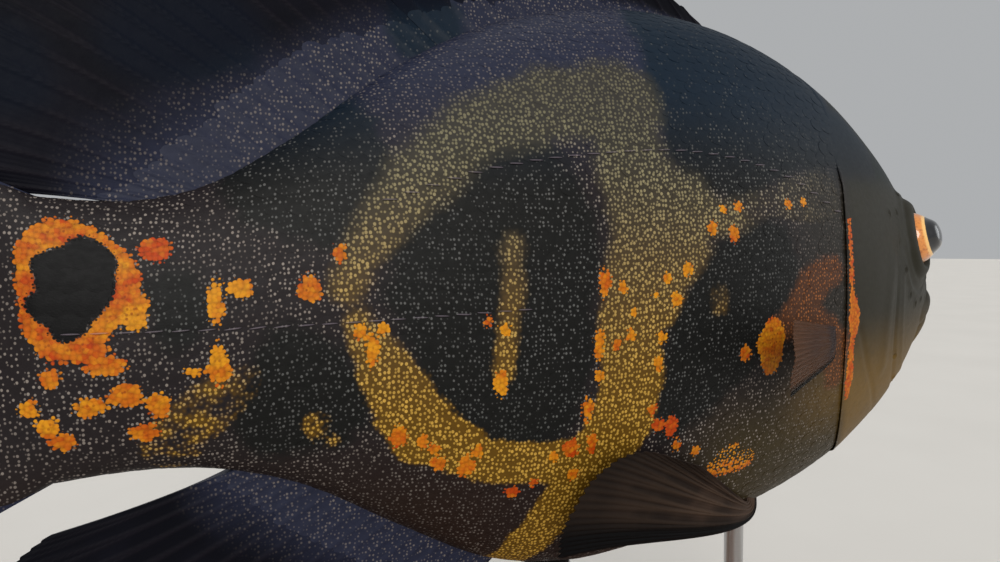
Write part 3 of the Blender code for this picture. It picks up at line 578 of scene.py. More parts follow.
class Bench:
    """Places and joins the nodes of one shader tree."""

    def __init__(self, tree: bpy.types.NodeTree) -> None:
        """Starts on a tree that is already there."""
        self.tree = tree

    def node(self, kind: str, inputs: dict | None = None, **settings: object) -> bpy.types.Node:
        """Adds a node, with its settings, and feeds its inputs by name or number."""
        made = self.tree.nodes.new(kind)
        for name, value in settings.items():
            setattr(made, name, value)
        for key, value in (inputs or {}).items():
            self.feed(made.inputs[key], value)
        return made

    def feed(self, socket: Socket, value: object) -> None:
        """Joins a socket to the value's socket, or sets it to a plain value."""
        value = value.socket if isinstance(value, Signal) else value
        if isinstance(value, bpy.types.NodeSocket):
            self.tree.links.new(value, socket)
        else:
            socket.default_value = value

    def signal(self, socket: Socket) -> Signal:
        """A socket's number."""
        return Signal(self, socket)

    def math(self, operation: str, first: object, second: object = 0.0) -> Signal:
        """Result of one sum on numbers."""
        return self.signal(self.node("ShaderNodeMath", {0: first, 1: second}, operation=operation).outputs[0])

    def mix(self, share: object, first: object, second: object, blend: str = "MIX") -> Socket:
        """Mix of two colours."""
        made = self.node("ShaderNodeMix", data_type="RGBA", blend_type=blend)
        self.feed(made.inputs["Factor"], share)
        self.feed(made.inputs[6], first)
        self.feed(made.inputs[7], second)
        return made.outputs[2]

    def layered(self, colour: object, *coats: tuple[object, object]) -> Socket:
        """A colour with others laid over it in turn, each a share and its colour."""
        for share, coat in coats:
            colour = self.mix(share, colour, coat)
        return colour

    def shaded(self, colour: object, value: Signal) -> Socket:
        """A colour times a number."""
        grey = self.node("ShaderNodeCombineColor", {0: value, 1: value, 2: value}).outputs[0]
        return self.mix(1.0, colour, grey, "MULTIPLY")

    def step(self, value: object, low: object, high: object) -> Signal:
        """Smooth rise from 0 at low to 1 at high."""
        made = self.node("ShaderNodeMapRange", {"Value": value, "From Min": low, "From Max": high},
                         interpolation_type="SMOOTHSTEP")
        return self.signal(made.outputs[0])

    def spread(self, value: object, low: float, high: float) -> Signal:
        """A value of 0 to 1 carried to low to high."""
        made = self.node("ShaderNodeMapRange", {"Value": value, "To Min": low, "To Max": high})
        return self.signal(made.outputs[0])

    def noise(self, vector: object, scale: float, detail: float = 2.0, rough: float = 0.5) -> Signal:
        """Soft noise of 0 to 1."""
        made = self.node("ShaderNodeTexNoise",
                         {"Vector": vector, "Scale": scale, "Detail": detail, "Roughness": rough})
        return self.signal(made.outputs[0])

    def stretch(self, vector: object, amounts: tuple[float, float, float]) -> Socket:
        """A vector stretched along its three ways."""
        made = self.node("ShaderNodeVectorMath", {0: vector, 1: amounts}, operation="MULTIPLY")
        return made.outputs[0]

    def parts(self, vector: object) -> tuple[Signal, Signal, Signal]:
        """The three numbers of a vector."""
        return tuple(self.signal(part) for part in self.node("ShaderNodeSeparateXYZ", {0: vector}).outputs)

    def layer(self, name: str) -> Socket:
        """A layer that the mesh carries."""
        return self.node("ShaderNodeAttribute", attribute_name=name).outputs["Vector"]


class EffectGroup:
    """A shader node group with named inputs and outputs, built once and placed in materials."""

    def __init__(self, name: str, inputs: dict[str, object], outputs: dict[str, str]) -> None:
        """Makes the group's sockets.

        Args:
            name: the group's name.
            inputs: each input's default, whose kind tells the socket's.
            outputs: each output's socket kind.
        """
        self.tree = bpy.data.node_groups.new(name, "ShaderNodeTree")
        for key, value in inputs.items():
            if isinstance(value, float):
                kind = "NodeSocketFloat"
            else:
                kind = "NodeSocketColor" if len(value) == 4 else "NodeSocketVector"
            socket = self.tree.interface.new_socket(key, in_out="INPUT", socket_type=kind)
            socket.default_value = value
        for key, kind in outputs.items():
            self.tree.interface.new_socket(key, in_out="OUTPUT", socket_type=kind)
        self.bench = Bench(self.tree)
        self.given = self.bench.node("NodeGroupInput").outputs
        self.result = self.bench.node("NodeGroupOutput").inputs

    def place(self, bench: Bench, inputs: dict[str, object]) -> bpy.types.NodeOutputs:
        """Puts the group in a material's tree and returns its outputs."""
        made = bench.node("ShaderNodeGroup", node_tree=self.tree)
        for key, value in inputs.items():
            bench.feed(made.inputs[key], value)
        return made.outputs


class Pattern(EffectGroup):
    """The oscar's marks: knobbly orange rosettes, gold bars of close dots, black blotches.

    The skin is a sheet of small cells with a pale dot in most. Coarser knobs break up the edge
    of each orange mark: a knob's distance from its own middle is added to the depth in the mark.
    Each knob's orange is painted lighter in its middle and darker at its rim, as painted shading.
    """

    dot_wide_mm = 0.78
    dot_tall_mm = 0.92
    knob_mm = 0.86
    spacing_play = 0.75
    dot_small = 0.13
    dot_large = 0.22
    dot_play = 0.16
    dot_blur = 0.08
    core_black = paint(10, 9, 10)
    ground = paint(34, 30, 31)
    ground_dot = paint(122, 113, 106)
    black = paint(24, 24, 23)
    black_dot = paint(82, 82, 80)
    black_blue = paint(22, 33, 44)
    back_blue = paint(38, 41, 56)
    belly_brown = paint(36, 27, 23)
    chest_brown = paint(50, 42, 25)
    gold_low = paint(86, 62, 20)
    gold_high = paint(58, 55, 46)
    gold_dot_low = paint(182, 142, 62)
    gold_dot_high = paint(124, 118, 92)
    rust = paint(70, 44, 29)
    rust_dot = paint(152, 92, 50)
    yellow = paint(188, 124, 26)
    red = paint(158, 58, 16)
    pit = paint(104, 40, 18)
    head_top = paint(19, 26, 26)
    head_side = paint(38, 36, 28)
    head_low = paint(96, 74, 36)

    def __init__(self) -> None:
        """Builds the group's nodes."""
        inputs = {"Lie": (0.0, 0.0, 0.0), "Marks": (-99.0, -99.0, -99.0), "Mood": (0.0, 0.0, 0.0),
                  "Hue": (0.0, 0.0, -99.0), "Tone": (-99.0, 0.0, 0.0)}
        outputs = {"Color": "NodeSocketColor", "Roughness": "NodeSocketFloat", "Height": "NodeSocketFloat"}
        super().__init__("oscar_pattern", inputs, outputs)
        bench = self.bench
        lie = self.given["Lie"]
        gold_depth, black_depth, orange_depth = bench.parts(self.given["Marks"])
        warmth, strength, bare = bench.parts(self.given["Mood"])
        blue, brown, core_depth = bench.parts(self.given["Hue"])
        rust_depth, chest, low = bench.parts(self.given["Tone"])

        reach, draw, second_draw = self._cells(lie, self.dot_wide_mm, self.dot_tall_mm)
        knob, tint, _ = self._cells(lie, self.knob_mm, self.knob_mm)
        jag = (0.40 - reach) * 0.9
        drift = bench.noise(lie, 0.16, 3.0, 0.6) - 0.5
        speck = bench.noise(lie, 0.9, 2.0) - 0.5

        orange = bench.step(orange_depth + (0.42 - knob) * 1.1 + speck * 0.4 + drift * 1.6, -0.10, 0.16)
        soft = bench.spread(strength, 2.4, 0.55)
        gold = bench.step(gold_depth + jag + drift * 4.0, soft * -1.0, soft)
        black = bench.step(black_depth + drift * 6.0, -2.6, 1.6)
        rust = bench.step(rust_depth + jag + drift * 5.0, -1.4, 1.2)
        core = bench.step(core_depth + (0.44 - knob) * 1.4, -0.2, 0.2)

        base = bench.layered(
            self.ground, (blue, self.back_blue), (brown, self.belly_brown), (chest, self.chest_brown),
            (black, bench.mix(blue, self.black, self.black_blue)), (rust * 0.9, self.rust),
            (gold * bench.spread(strength, 0.75, 1.0), bench.mix(strength, self.gold_high, self.gold_low)))

        size = bench.spread(gold, self.dot_small, self.dot_large) + draw * self.dot_play
        dot = bench.step(reach, size + self.dot_blur, size - self.dot_blur)
        crowd = bench.math("MAXIMUM", bench.spread(gold, 0.78, 0.98), rust)
        crowd = crowd - black * 0.10 - blue * black * 0.45 - chest * 0.25
        dot = dot * bench.math("LESS_THAN", second_draw, crowd)
        patchy = bench.spread(bench.noise(lie, 0.09, 2.0), 0.1, 1.7)
        bright = (bench.spread(draw, 0.30, 1.0) * patchy).held() * (1.0 - brown * 0.6)
        bright = bench.math("MAXIMUM", bright, gold * 0.9 * bench.spread(draw, 0.55, 1.0))
        unveiled = (1.0 - bare * (1.0 - rust * 0.7) * 1.3).held()
        dot = dot * bright * ((1.0 - blue * 0.5) * unveiled * (1.0 - core))
        gold_dot = bench.mix(strength, self.gold_dot_high, self.gold_dot_low)
        dot_colour = bench.layered(self.ground_dot, (black, self.black_dot), (rust, self.rust_dot),
                                   (gold, gold_dot))

        head = bench.layered(self.head_top, (bench.step(blue, 0.35, 0.0), self.head_side),
                             (low, self.head_low))
        mottle = bench.step(bench.noise(lie, 0.30, 4.0, 0.65), 0.48, 0.75)
        head = bench.mix(mottle * 0.35, head, bench.mix(0.6, head, self.ground))
        marked = bench.math("MAXIMUM", black * 0.85, rust * 0.8)
        colour = bench.layered(base, (bare * (1.0 - marked), head), (dot, dot_colour))

        hot = ((warmth + drift * 2.2).held() + (tint - 0.5) * 0.45).held()
        # Painted shading: each knob of the orange is lighter in its middle and darker at its rim, under a
        # random tone.
        knob_shade_and_tone = bench.step(knob, 0.75, 0.15) * bench.spread(bench.noise(lie, 2.4, 2.0), 0.86, 1.14)
        flame = bench.shaded(bench.mix(hot, self.yellow, self.red), bench.spread(knob_shade_and_tone, 0.76, 1.08))
        sink = bench.step(reach, 0.34, 0.16) * bench.step(orange_depth, 0.4, 1.6)
        sink = sink * (orange * bench.spread(second_draw, 0.0, 0.75))
        colour = bench.layered(colour, (orange, flame), (sink, self.pit), (core, self.core_black))
        colour = bench.shaded(colour, bench.spread(bench.noise(lie, 0.5, 3.0), 0.80, 1.16))

        bench.feed(self.result["Color"], colour)
        bench.feed(self.result["Roughness"], bench.spread(bench.noise(lie, 0.8, 2.0), 0.44, 0.58))
        bench.feed(self.result["Height"], dot * 0.5 + orange * 0.5 + bench.noise(lie, 3.0, 2.0) * 0.35)

    def _cells(self, lie: Socket, wide_mm: float, tall_mm: float) -> tuple[Signal, Signal, Signal]:
        """Distance to the nearest cell middle, and two numbers drawn for each cell."""
        made = self.bench.node("ShaderNodeTexVoronoi", {
            "Vector": self.bench.stretch(lie, (1 / wide_mm, 1 / tall_mm, 0.0)), "Scale": 1.0,
            "Randomness": self.spacing_play}, voronoi_dimensions="2D")
        first, second, _ = self.bench.parts(made.outputs["Color"])
        return self.bench.signal(made.outputs["Distance"]), first, second


@dataclass(frozen=True)
class Gloss:
    """A shader's constant values."""

    specular: float = 0.5
    coat: float = 0.0
    coat_roughness: float = 0.15
    metallic: float = 0.0
    ior: float = 1.45


@dataclass(frozen=True)
class FinTones:
    """A fin's colours: membrane, rays, outer edge, painted shadow on the lower rim, and the share of each
    effect.
    """

    skin: tuple = paint(17, 17, 24)
    ray: tuple = paint(26, 24, 29)
    edge: tuple = paint(10, 11, 16)
    dark_front: float = 0.0
    shadow_rim_from: float = 99.0
    scaly: float = 1.0
    cover: float = 1.0


class Finish:
    """One material, with its tree and its shader."""

    def __init__(self, name: str, gloss: Gloss = Gloss()) -> None:
        """Makes the material and sets the values that are the same all over."""
        self.material = bpy.data.materials.new(name)
        self.material.use_nodes = True
        self.bench = Bench(self.material.node_tree)
        self.shader = self.material.node_tree.nodes["Principled BSDF"]
        self.shader.inputs["Specular IOR Level"].default_value = gloss.specular
        self.shader.inputs["Coat Weight"].default_value = gloss.coat
        self.shader.inputs["Coat Roughness"].default_value = gloss.coat_roughness
        self.shader.inputs["Metallic"].default_value = gloss.metallic
        self.shader.inputs["IOR"].default_value = gloss.ior

    def set(self, colour: object, roughness: object, height: object = None, depth_mm: float = 0.1) -> None:
        """Feeds the shader, with the height as a bump of a depth in millimetres."""
        self.bench.feed(self.shader.inputs["Base Color"], colour)
        self.bench.feed(self.shader.inputs["Roughness"], roughness)
        if height is not None:
            bump = self.bench.node("ShaderNodeBump",
                                   {"Height": height, "Distance": depth_mm * MM, "Strength": 1.0})
            self.bench.feed(self.shader.inputs["Normal"], bump.outputs[0])

    def place_mm(self) -> Socket:
        """Place on the object in millimetres."""
        coordinates = self.bench.node("ShaderNodeTexCoord").outputs["Object"]
        return self.bench.stretch(coordinates, (1 / MM,) * 3)


class Finishes:
    """Every material of the model."""

    def __init__(self) -> None:
        """Builds the shared pattern and each finish."""
        self.pattern = Pattern()
        self.skin = self._flank("oscar_skin", 0.10)
        self.scales = self._flank("oscar_scales", 0.07)
        self.pores = self._pores()
        self.fin = self._fin("dark_fin_skin", FinTones())
        self.pelvic = self._fin("pelvic_fin_skin", FinTones(
            skin=paint(60, 48, 41), ray=paint(72, 58, 48), edge=paint(15, 15, 16), dark_front=1.0, scaly=0.0))
        # The pectoral's near-black lower rim is painted shadow, standing for the shade beneath the fin.
        self.pectoral = self._fin("pectoral_fin_skin", FinTones(
            skin=paint(56, 47, 46), ray=paint(38, 32, 33), edge=paint(84, 57, 39), scaly=0.0, cover=0.62,
            shadow_rim_from=6.6))
        self.eye = self._eye()
        self.walnut = self._walnut()
        self.steel = self._steel()
        self.felt = self._felt()

    def _patterned(self, bench: Bench) -> tuple[Socket, bpy.types.NodeOutputs]:
        """The lie, and the pattern fed with every layer that skin and scales carry."""
        layers = {key.title(): bench.layer(key) for key in ("lie", "marks", "mood", "hue", "tone")}
        return layers["Lie"], self.pattern.place(bench, layers)

    def _flank(self, name: str, depth_mm: float) -> bpy.types.Material:
        """Skin or scales with the oscar's pattern."""
        finish = Finish(name, Gloss(specular=0.12))
        _, out = self._patterned(finish.bench)
        finish.set(out["Color"], out["Roughness"], out["Height"], depth_mm)
        return finish.material

    def _pores(self) -> bpy.types.Material:
        """Tubes of the lateral line: the skin's own pattern under a thin pale film."""
        finish = Finish("lateral_line_pores", Gloss(specular=0.3))
        bench = finish.bench
        lie, out = self._patterned(bench)
        film = bench.spread(bench.noise(lie, 0.25, 2.0), 0.1, 0.5)
        finish.set(bench.mix(film, out["Color"], paint(118, 106, 116)), 0.45)
        return finish.material

    def _fin(self, name: str, tones: FinTones) -> bpy.types.Material:
        """Fin skin: scaly and dotted at its root, then a cloudy membrane with rays.

        Args:
            name: the material's name.
            tones: its colours and how they are shared out.

        Returns:
            The material.
        """
        finish = Finish(name, Gloss(specular=0.06))
        bench = finish.bench
        fin, lie, marks = (bench.layer(key) for key in ("fin", "lie", "marks"))
        ridge, rise, across = bench.parts(fin)
        _, black_depth, _ = bench.parts(marks)
        cloud = bench.noise(lie, 0.045, 3.0, 0.6)
        black = bench.step(black_depth + cloud * 6.0, -1.0, 5.0)
        front = bench.step(across + rise * 0.4, 2.6, 1.2) * tones.dark_front
        # Painted shadow: near-black across the fin's lower rim, from shadow_rim_from on, where shade under
        # the fin falls.
        rear = bench.step(across, tones.shadow_rim_from, tones.shadow_rim_from + 1.0)
        root = bench.step(rise + cloud * 0.2, 0.52, 0.20) * tones.scaly
        out = self.pattern.place(bench, {"Lie": lie, "Marks": marks, "Hue": (0.9, 0.0, -99.0)})
        colour = bench.layered(
            tones.skin, (bench.step(cloud, 0.40, 0.60), bench.mix(0.6, tones.skin, tones.edge)),
            (ridge * 0.6, tones.ray), (black, paint(15, 19, 28)),
            (bench.step(rise, 0.5, 1.0) * 0.7, tones.edge), (front, tones.edge), (rear, paint(13, 12, 13)),
            (root, out["Color"]))
        along = bench.stretch(fin, (0.0, 1.0, 0.0))
        joints = bench.node("ShaderNodeTexWave", {"Vector": along, "Scale": 12.0, "Distortion": 0.6},
                            bands_direction="Y")
        height = bench.signal(joints.outputs[1]) * ridge * 0.5 + bench.noise(lie, 2.2, 2.0) * 0.4
        finish.set(colour, bench.spread(bench.noise(lie, 0.6, 2.0), 0.50, 0.66), height, 0.06)
        if tones.cover < 1:
            thin = bench.step(rise, 0.1, 0.6) * (1.0 - ridge)
            bench.feed(finish.shader.inputs["Alpha"], bench.spread(thin, 1.0, tones.cover))
        return finish.material

    def _eye(self) -> bpy.types.Material:
        """Orange-gold iris with dark radial flecks round a black pupil, under a clear coat."""
        finish = Finish("oscar_eye", Gloss(specular=0.6, coat=1.0, coat_roughness=0.02, ior=1.4))
        bench = finish.bench
        tilt, across, up = bench.parts(bench.layer("gaze"))
        turn = bench.node("ShaderNodeCombineXYZ", {0: across, 1: up, 2: tilt * 0.02})
        streak = bench.noise(turn.outputs[0], 9.0, 3.0, 0.7)
        edge = tilt + (streak - 0.5) * 3.0
        colour = bench.layered(
            paint(206, 128, 58), (bench.step(streak, 0.48, 0.74), paint(120, 58, 24)),
            (bench.step(edge, 52.0, 47.0), paint(226, 176, 104)),
            (bench.step(edge, 63.0, 76.0), paint(40, 26, 18)),
            (bench.step(edge, 44.0, 42.5), paint(5, 7, 14)))
        finish.set(colour, 0.28)
        return finish.material

    def _walnut(self) -> bpy.types.Material:
        """Oiled walnut: long fibre lines with darker rings and short pores."""
        finish = Finish("walnut_wood", Gloss(specular=0.4, coat=0.2, coat_roughness=0.25))
        bench = finish.bench
        place = finish.place_mm()
        flow = bench.noise(bench.stretch(place, (0.006, 0.03, 0.03)), 1.0, 3.0, 0.55)
        rings = bench.node("ShaderNodeTexWave", {
            "Vector": bench.stretch(place, (0.003, 0.022, 0.055)), "Scale": 1.0, "Distortion": 7.0,
            "Detail": 3.0, "Detail Scale": 0.7}, bands_direction="Y", wave_profile="SAW").outputs[1]
        fibre = bench.noise(bench.stretch(place, (0.05, 2.0, 2.0)), 1.0, 4.0, 0.7)
        colour = bench.layered(
            paint(104, 68, 44), (rings, paint(62, 38, 25)), (flow * 0.6, paint(128, 88, 58)),
            (bench.step(fibre, 0.45, 0.75) * 0.6, paint(44, 27, 18)))
        finish.set(colour, bench.spread(fibre, 0.34, 0.50), fibre, 0.06)
        return finish.material

    def _steel(self) -> bpy.types.Material:
        """Turned satin steel: fine rings round the rod."""
        finish = Finish("satin_steel_turned", Gloss(metallic=1.0))
        bench = finish.bench
        place = finish.place_mm()
        lines = bench.noise(bench.stretch(place, (0.05, 0.05, 9.0)), 1.0, 3.0, 0.7)
        colour = bench.mix(lines, paint(168, 169, 171), paint(204, 204, 203))
        finish.set(colour, bench.spread(lines, 0.24, 0.40), lines, 0.015)
        return finish.material

    def _felt(self) -> bpy.types.Material:
        """Black felt between the saddles and the belly."""
        finish = Finish("black_felt", Gloss(specular=0.2))
        fuzz = finish.bench.noise(finish.place_mm(), 4.0, 4.0, 0.8)
        finish.set(finish.bench.mix(fuzz, paint(18, 18, 19), paint(40, 39, 39)), 0.95, fuzz, 0.2)
        return finish.material


@dataclass
class Skin:
    """One skin over head, trunk and tail base, with the head's lips, folds, orbits and gill slit."""

    columns: int = 360
    head_rows: int = 190
    torso_rows: int = 54
    tail_rows: int = 14
    side_crowding: float = 0.25
    coat: float = 0.00035
    flare_height: float = 0.0003
    fold_place: tuple = (0.10, 0.16, 0.12, -0.15, -0.5, -0.8, -0.5, 0.0, 0.8, 1.8, 3.0)
    fold_lift_mm: tuple = (0.26, 0.18, 0.05, -0.08, -0.18, -0.26, -0.32, -0.34, -0.34, -0.35, -0.35)
    mouth_place: tuple = (-2.0, 0.0, 3.0, 6.0, 9.0)
    mouth_level: tuple = (-1.0, -1.3, -2.7, -4.3, -5.6)
    eye_radius: float = 0.0081
    eye_place: float = 12.9
    eye_level: float = 0.0146
    eye_depth: float = 0.0021
    nostril_place: float = 7.4
    nostril_level: float = 0.0172
    upper_lip_mm: float = 2.5
    lower_lip_mm: float = 2.7
    lip_half_mm: float = 2.75
    lip_proud_mm: float = 1.45
    mouth_end: float = 9.4
    slit_mm: float = 2.6
    orbit_mm: float = 8.9
    orbit_proud_mm: float = 2.4
    under_eye_mm: float = 5.5
    nostril_mm: float = 1.7
    nostril_depth_mm: float = 2.0
    head_power: float = 1.6
    trunk_end: float = 98.0
    folds: tuple = (
        (((19.6, 5.5), (21.4, 1.0), (21.6, -5.0), (18.8, -10.0), (13.0, -12.6)), 1.0, -0.40),
        (((18.2, 5.0), (19.6, 1.0), (19.6, -4.0), (17.2, -8.4), (12.5, -10.8)), 1.5, 0.22),
        (((31.0, -3.0), (28.0, -7.5), (24.0, -11.5), (20.0, -14.5)), 0.9, -0.26),
        (((23.0, 4.0), (24.5, -2.0), (24.0, -8.0)), 2.6, 0.35),
        (((8.6, -5.3), (10.2, -8.0), (10.6, -11.0)), 1.1, -0.42),
        (((3.2, 3.6), (6.2, 0.2), (9.2, -4.0)), 1.1, -0.34),
        (((9.2, 1.6), (12.5, -0.8), (16.5, 0.2), (19.0, 3.4)), 1.1, 0.35),
        (((6.6, 9.2), (9.6, 11.2), (13.0, 11.6)), 1.3, 0.30),
        (((4.5, -9.0), (9.0, -11.9), (14.0, -14.0)), 1.0, -0.24),
    )
    pores: tuple = ((9.4, 0.6), (11.6, -1.4), (14.4, -1.8), (17.0, -0.6), (19.0, 2.4), (20.4, -7.4),
                    (17.6, -10.6), (14.2, -12.2), (10.4, -12.6), (7.2, -10.8), (5.0, 5.6), (8.6, 9.9),
                    (12.4, 12.2), (16.2, 11.4), (19.4, 9.0), (22.4, 8.8))

    def angles(self) -> np.ndarray:
        """Angles of the columns, closer together on the flanks than on back and belly."""
        turn = np.linspace(0, 1, self.columns, endpoint=False)
        return 360 * (turn + self.side_crowding * np.sin(4 * np.pi * turn) / (4 * np.pi))

    def eye_centre(self) -> tuple[np.ndarray, np.ndarray]:
        """Centre of the right eyeball in the straight fish, and the way it looks."""
        angle = FISH.flank_angle(self.eye_place, self.eye_level)
        outward = FISH.normal(self.eye_place, angle)
        return FISH.point(self.eye_place, angle) - outward * self.eye_depth, outward

    def mouth_height(self, place: np.ndarray) -> np.ndarray:
        """Height of the line of the mouth."""
        return smooth_curve(place, self.mouth_place, self.mouth_level) * FISH.percent

    def trunk_lift(self, place: np.ndarray, angle: np.ndarray) -> np.ndarray:
        """How far the trunk's skin lies off the outline: deep under the gill cover's edge."""
        behind = place - FISH.gill_edge(angle)
        under = np.interp(behind, self.fold_place[6:], self.fold_lift_mm[6:]) * MM
        flare = FISH.gill_flare(angle)
        return under * flare - self.coat * (1 - flare)

    def lips(self, place: np.ndarray, point: np.ndarray) -> np.ndarray:
        """Two rolls above and below the mouth's line, parted by a deep narrow slit.

        A roll is half an ellipse over the distance from its middle; both fade to the corner.
        """
        above = (point[..., 2] - self.mouth_height(place)) / MM
        fade = np.clip(1 - (place / self.mouth_end) ** 3, 0, 1) * (place < self.mouth_end)
        off = np.where(above > 0, above - self.upper_lip_mm, above + self.lower_lip_mm)
        roll = self.lip_proud_mm * np.clip(1 - (off / self.lip_half_mm) ** 2, 0, 1) ** 0.7
        slit = -self.slit_mm * hump(above, 0.42) * smooth_step(place, self.mouth_end + 0.2, 8.2)
        crease = -0.40 * hump(np.abs(above) - 5.9, 0.9)
        ripple = 0.06 * np.sin(above * 5.0 + place) * roll
        return ((roll + crease + ripple) * fade + slit) * MM

    def orbit(self, point: np.ndarray) -> np.ndarray:
        """Raised rim round each eye, with the skin sunk away under the ball."""
        centre, outward = self.eye_centre()
        offset = point - centre
        depth = offset @ outward
        reach = np.linalg.norm(offset - depth[..., None] * outward, axis=-1) / MM
        near = smooth_step(np.abs(depth) / MM, 9.0, 6.0)
        off = reach - self.orbit_mm
        rim = self.orbit_proud_mm * hump(off, np.where(off > 0, 3.4, 1.1)) + 0.20 * hump(reach - 13.6, 1.2)
        crease = -0.22 * hump(reach - 12.2, 0.6)
        sunk = -self.under_eye_mm * smooth_step(reach, 8.0, 6.6)
        return (rim + crease + sunk) * near * MM

    def nostril(self, point: np.ndarray) -> np.ndarray:
        """Single nostril on each side: a low collar round a pit."""
        angle = FISH.flank_angle(self.nostril_place, self.nostril_level)
        centre = FISH.point(self.nostril_place, angle)
        reach = np.linalg.norm(point - centre, axis=-1) / MM
        collar = 0.55 * hump(reach - self.nostril_mm, 0.6)
        return (collar - self.nostril_depth_mm * smooth_step(reach, 1.35, 0.6)) * MM

    def line_distance(self, x_mm: np.ndarray, z_mm: np.ndarray, line: tuple) -> np.ndarray:
        """Distance in the side view to a smooth line given by (place, level) in percents."""
        line = np.array(line) * FISH.percent / MM
        knots = np.linspace(0, 1, len(line))
        fine = np.linspace(0, 1, 12 * len(line))
        curve = np.stack([smooth_curve(fine, knots, line[:, 0]), smooth_curve(fine, knots, line[:, 1])], -1)
        best = np.full(x_mm.shape, 99.0)
        for start, end in zip(curve, curve[1:]):
            best = np.minimum(best, run_gap(x_mm, z_mm, start, end)[1])
        return best

    def cheek(self, place: np.ndarray, point: np.ndarray, angle: np.ndarray) -> np.ndarray:
        """Folds of cheek, jaw and gill cover, the head's sensory pores, and the throat's ribs."""
        x_mm, z_mm = place * FISH.percent / MM, point[..., 2] / MM
        side = smooth_step(folded(angle), 30, 50)
        total = np.zeros_like(x_mm)
        for line, width, depth in self.folds:
            total = total + depth * hump(self.line_distance(x_mm, z_mm, line), width)
        scale = FISH.percent / MM
        for along, up in self.pores:
            reach = np.hypot(x_mm - along * scale, z_mm - up * scale)
            total = total + 0.22 * hump(reach - 1.1, 0.4) - 0.75 * hump(reach, 0.62)
        under = smooth_step(folded(angle), 138, 152) * smooth_step(place, 9, 13) * smooth_step(place, 24, 20)
        ribs = 0.28 * under * np.sin(folded(angle) * 0.75 + place * 0.25)
        swell = 0.25 * np.sin(x_mm / 9) * np.sin(z_mm / 11 + 1)
        return (total * side + ribs + swell * side) * MM

    def head_flare(self, place: np.ndarray, angle: np.ndarray) -> np.ndarray:
        """How far the gill cover swells out towards its free edge."""
        ramp = np.clip((np.sqrt(place / FISH.gill_edge(angle)) - 0.86) / 0.12, 0, 1) ** 2
        return self.flare_height * ramp * FISH.gill_flare(angle)

    def head_relief(self, place: np.ndarray, angle: np.ndarray) -> np.ndarray:
        """Everything that stands out from or sinks into the plain head."""
        point = FISH.point(place, angle)
        point[..., 1] = -np.abs(point[..., 1])
        relief = self.lips(place, point) + self.orbit(point) + self.nostril(point)
        return relief + self.cheek(place, point, angle) * smooth_step(place, 2.0, 6.0)

    def build(self, finishes: Finishes) -> None:
        """Rows of the head up to the gill edge, the fold under it, the trunk and the tail's root.

        A point is the outline's point moved along the skin's normal by the row's lift.
        """
        angle = self.angles()[None]
        edge, flare = FISH.gill_edge(angle), FISH.gill_flare(angle)
        share = (np.arange(1, self.head_rows + 1) / self.head_rows)[:, None]
        head = edge * share**self.head_power
        head_lift = self.head_flare(head, angle) - 0.0001 + self.head_relief(head, angle)
        plain = np.linspace(0.25, self.fold_place[-1], len(self.fold_place))[:, None]
        fold_place = np.array(self.fold_place)[:, None]
        fold = edge + fold_place * flare + plain * (1 - flare)
        fold_lift = np.array(self.fold_lift_mm)[:, None] * MM * flare - self.coat * (1 - flare)
        stages = np.linspace(0, 1, self.torso_rows + 1)[1:, None]
        torso = (edge + self.fold_place[-1]) * (1 - stages) + self.trunk_end * stages
        tail = np.linspace(self.trunk_end, FISH.scaly_end, self.tail_rows + 1)[1:, None] + 0 * angle
        place = np.concatenate([head, fold, torso, tail])
        rest = np.full((self.torso_rows + self.tail_rows, self.columns), -self.coat)
        lift = np.concatenate([head_lift, fold_lift, rest])
        outward = FISH.normal(place, angle)
        points = FISH.point(place, angle) + outward * lift[..., None]
        nose = np.array([-0.0004, 0.0, FISH.back[0] * FISH.percent])
        rear = points[-1].mean(0)
        surface = capped_grid(FISH.in_place(points), FISH.in_place(nose), FISH.in_place(rear))
        layers = MARKINGS.layers(place, np.broadcast_to(angle, place.shape))
        surface.layers = {name: with_ends(values) for name, values in layers.items()}
        item = surface.facing_out().to_object("fish_skin", finishes.skin, 70)
        show(item, "head_skin", "head", "torso", "tail_stalk")


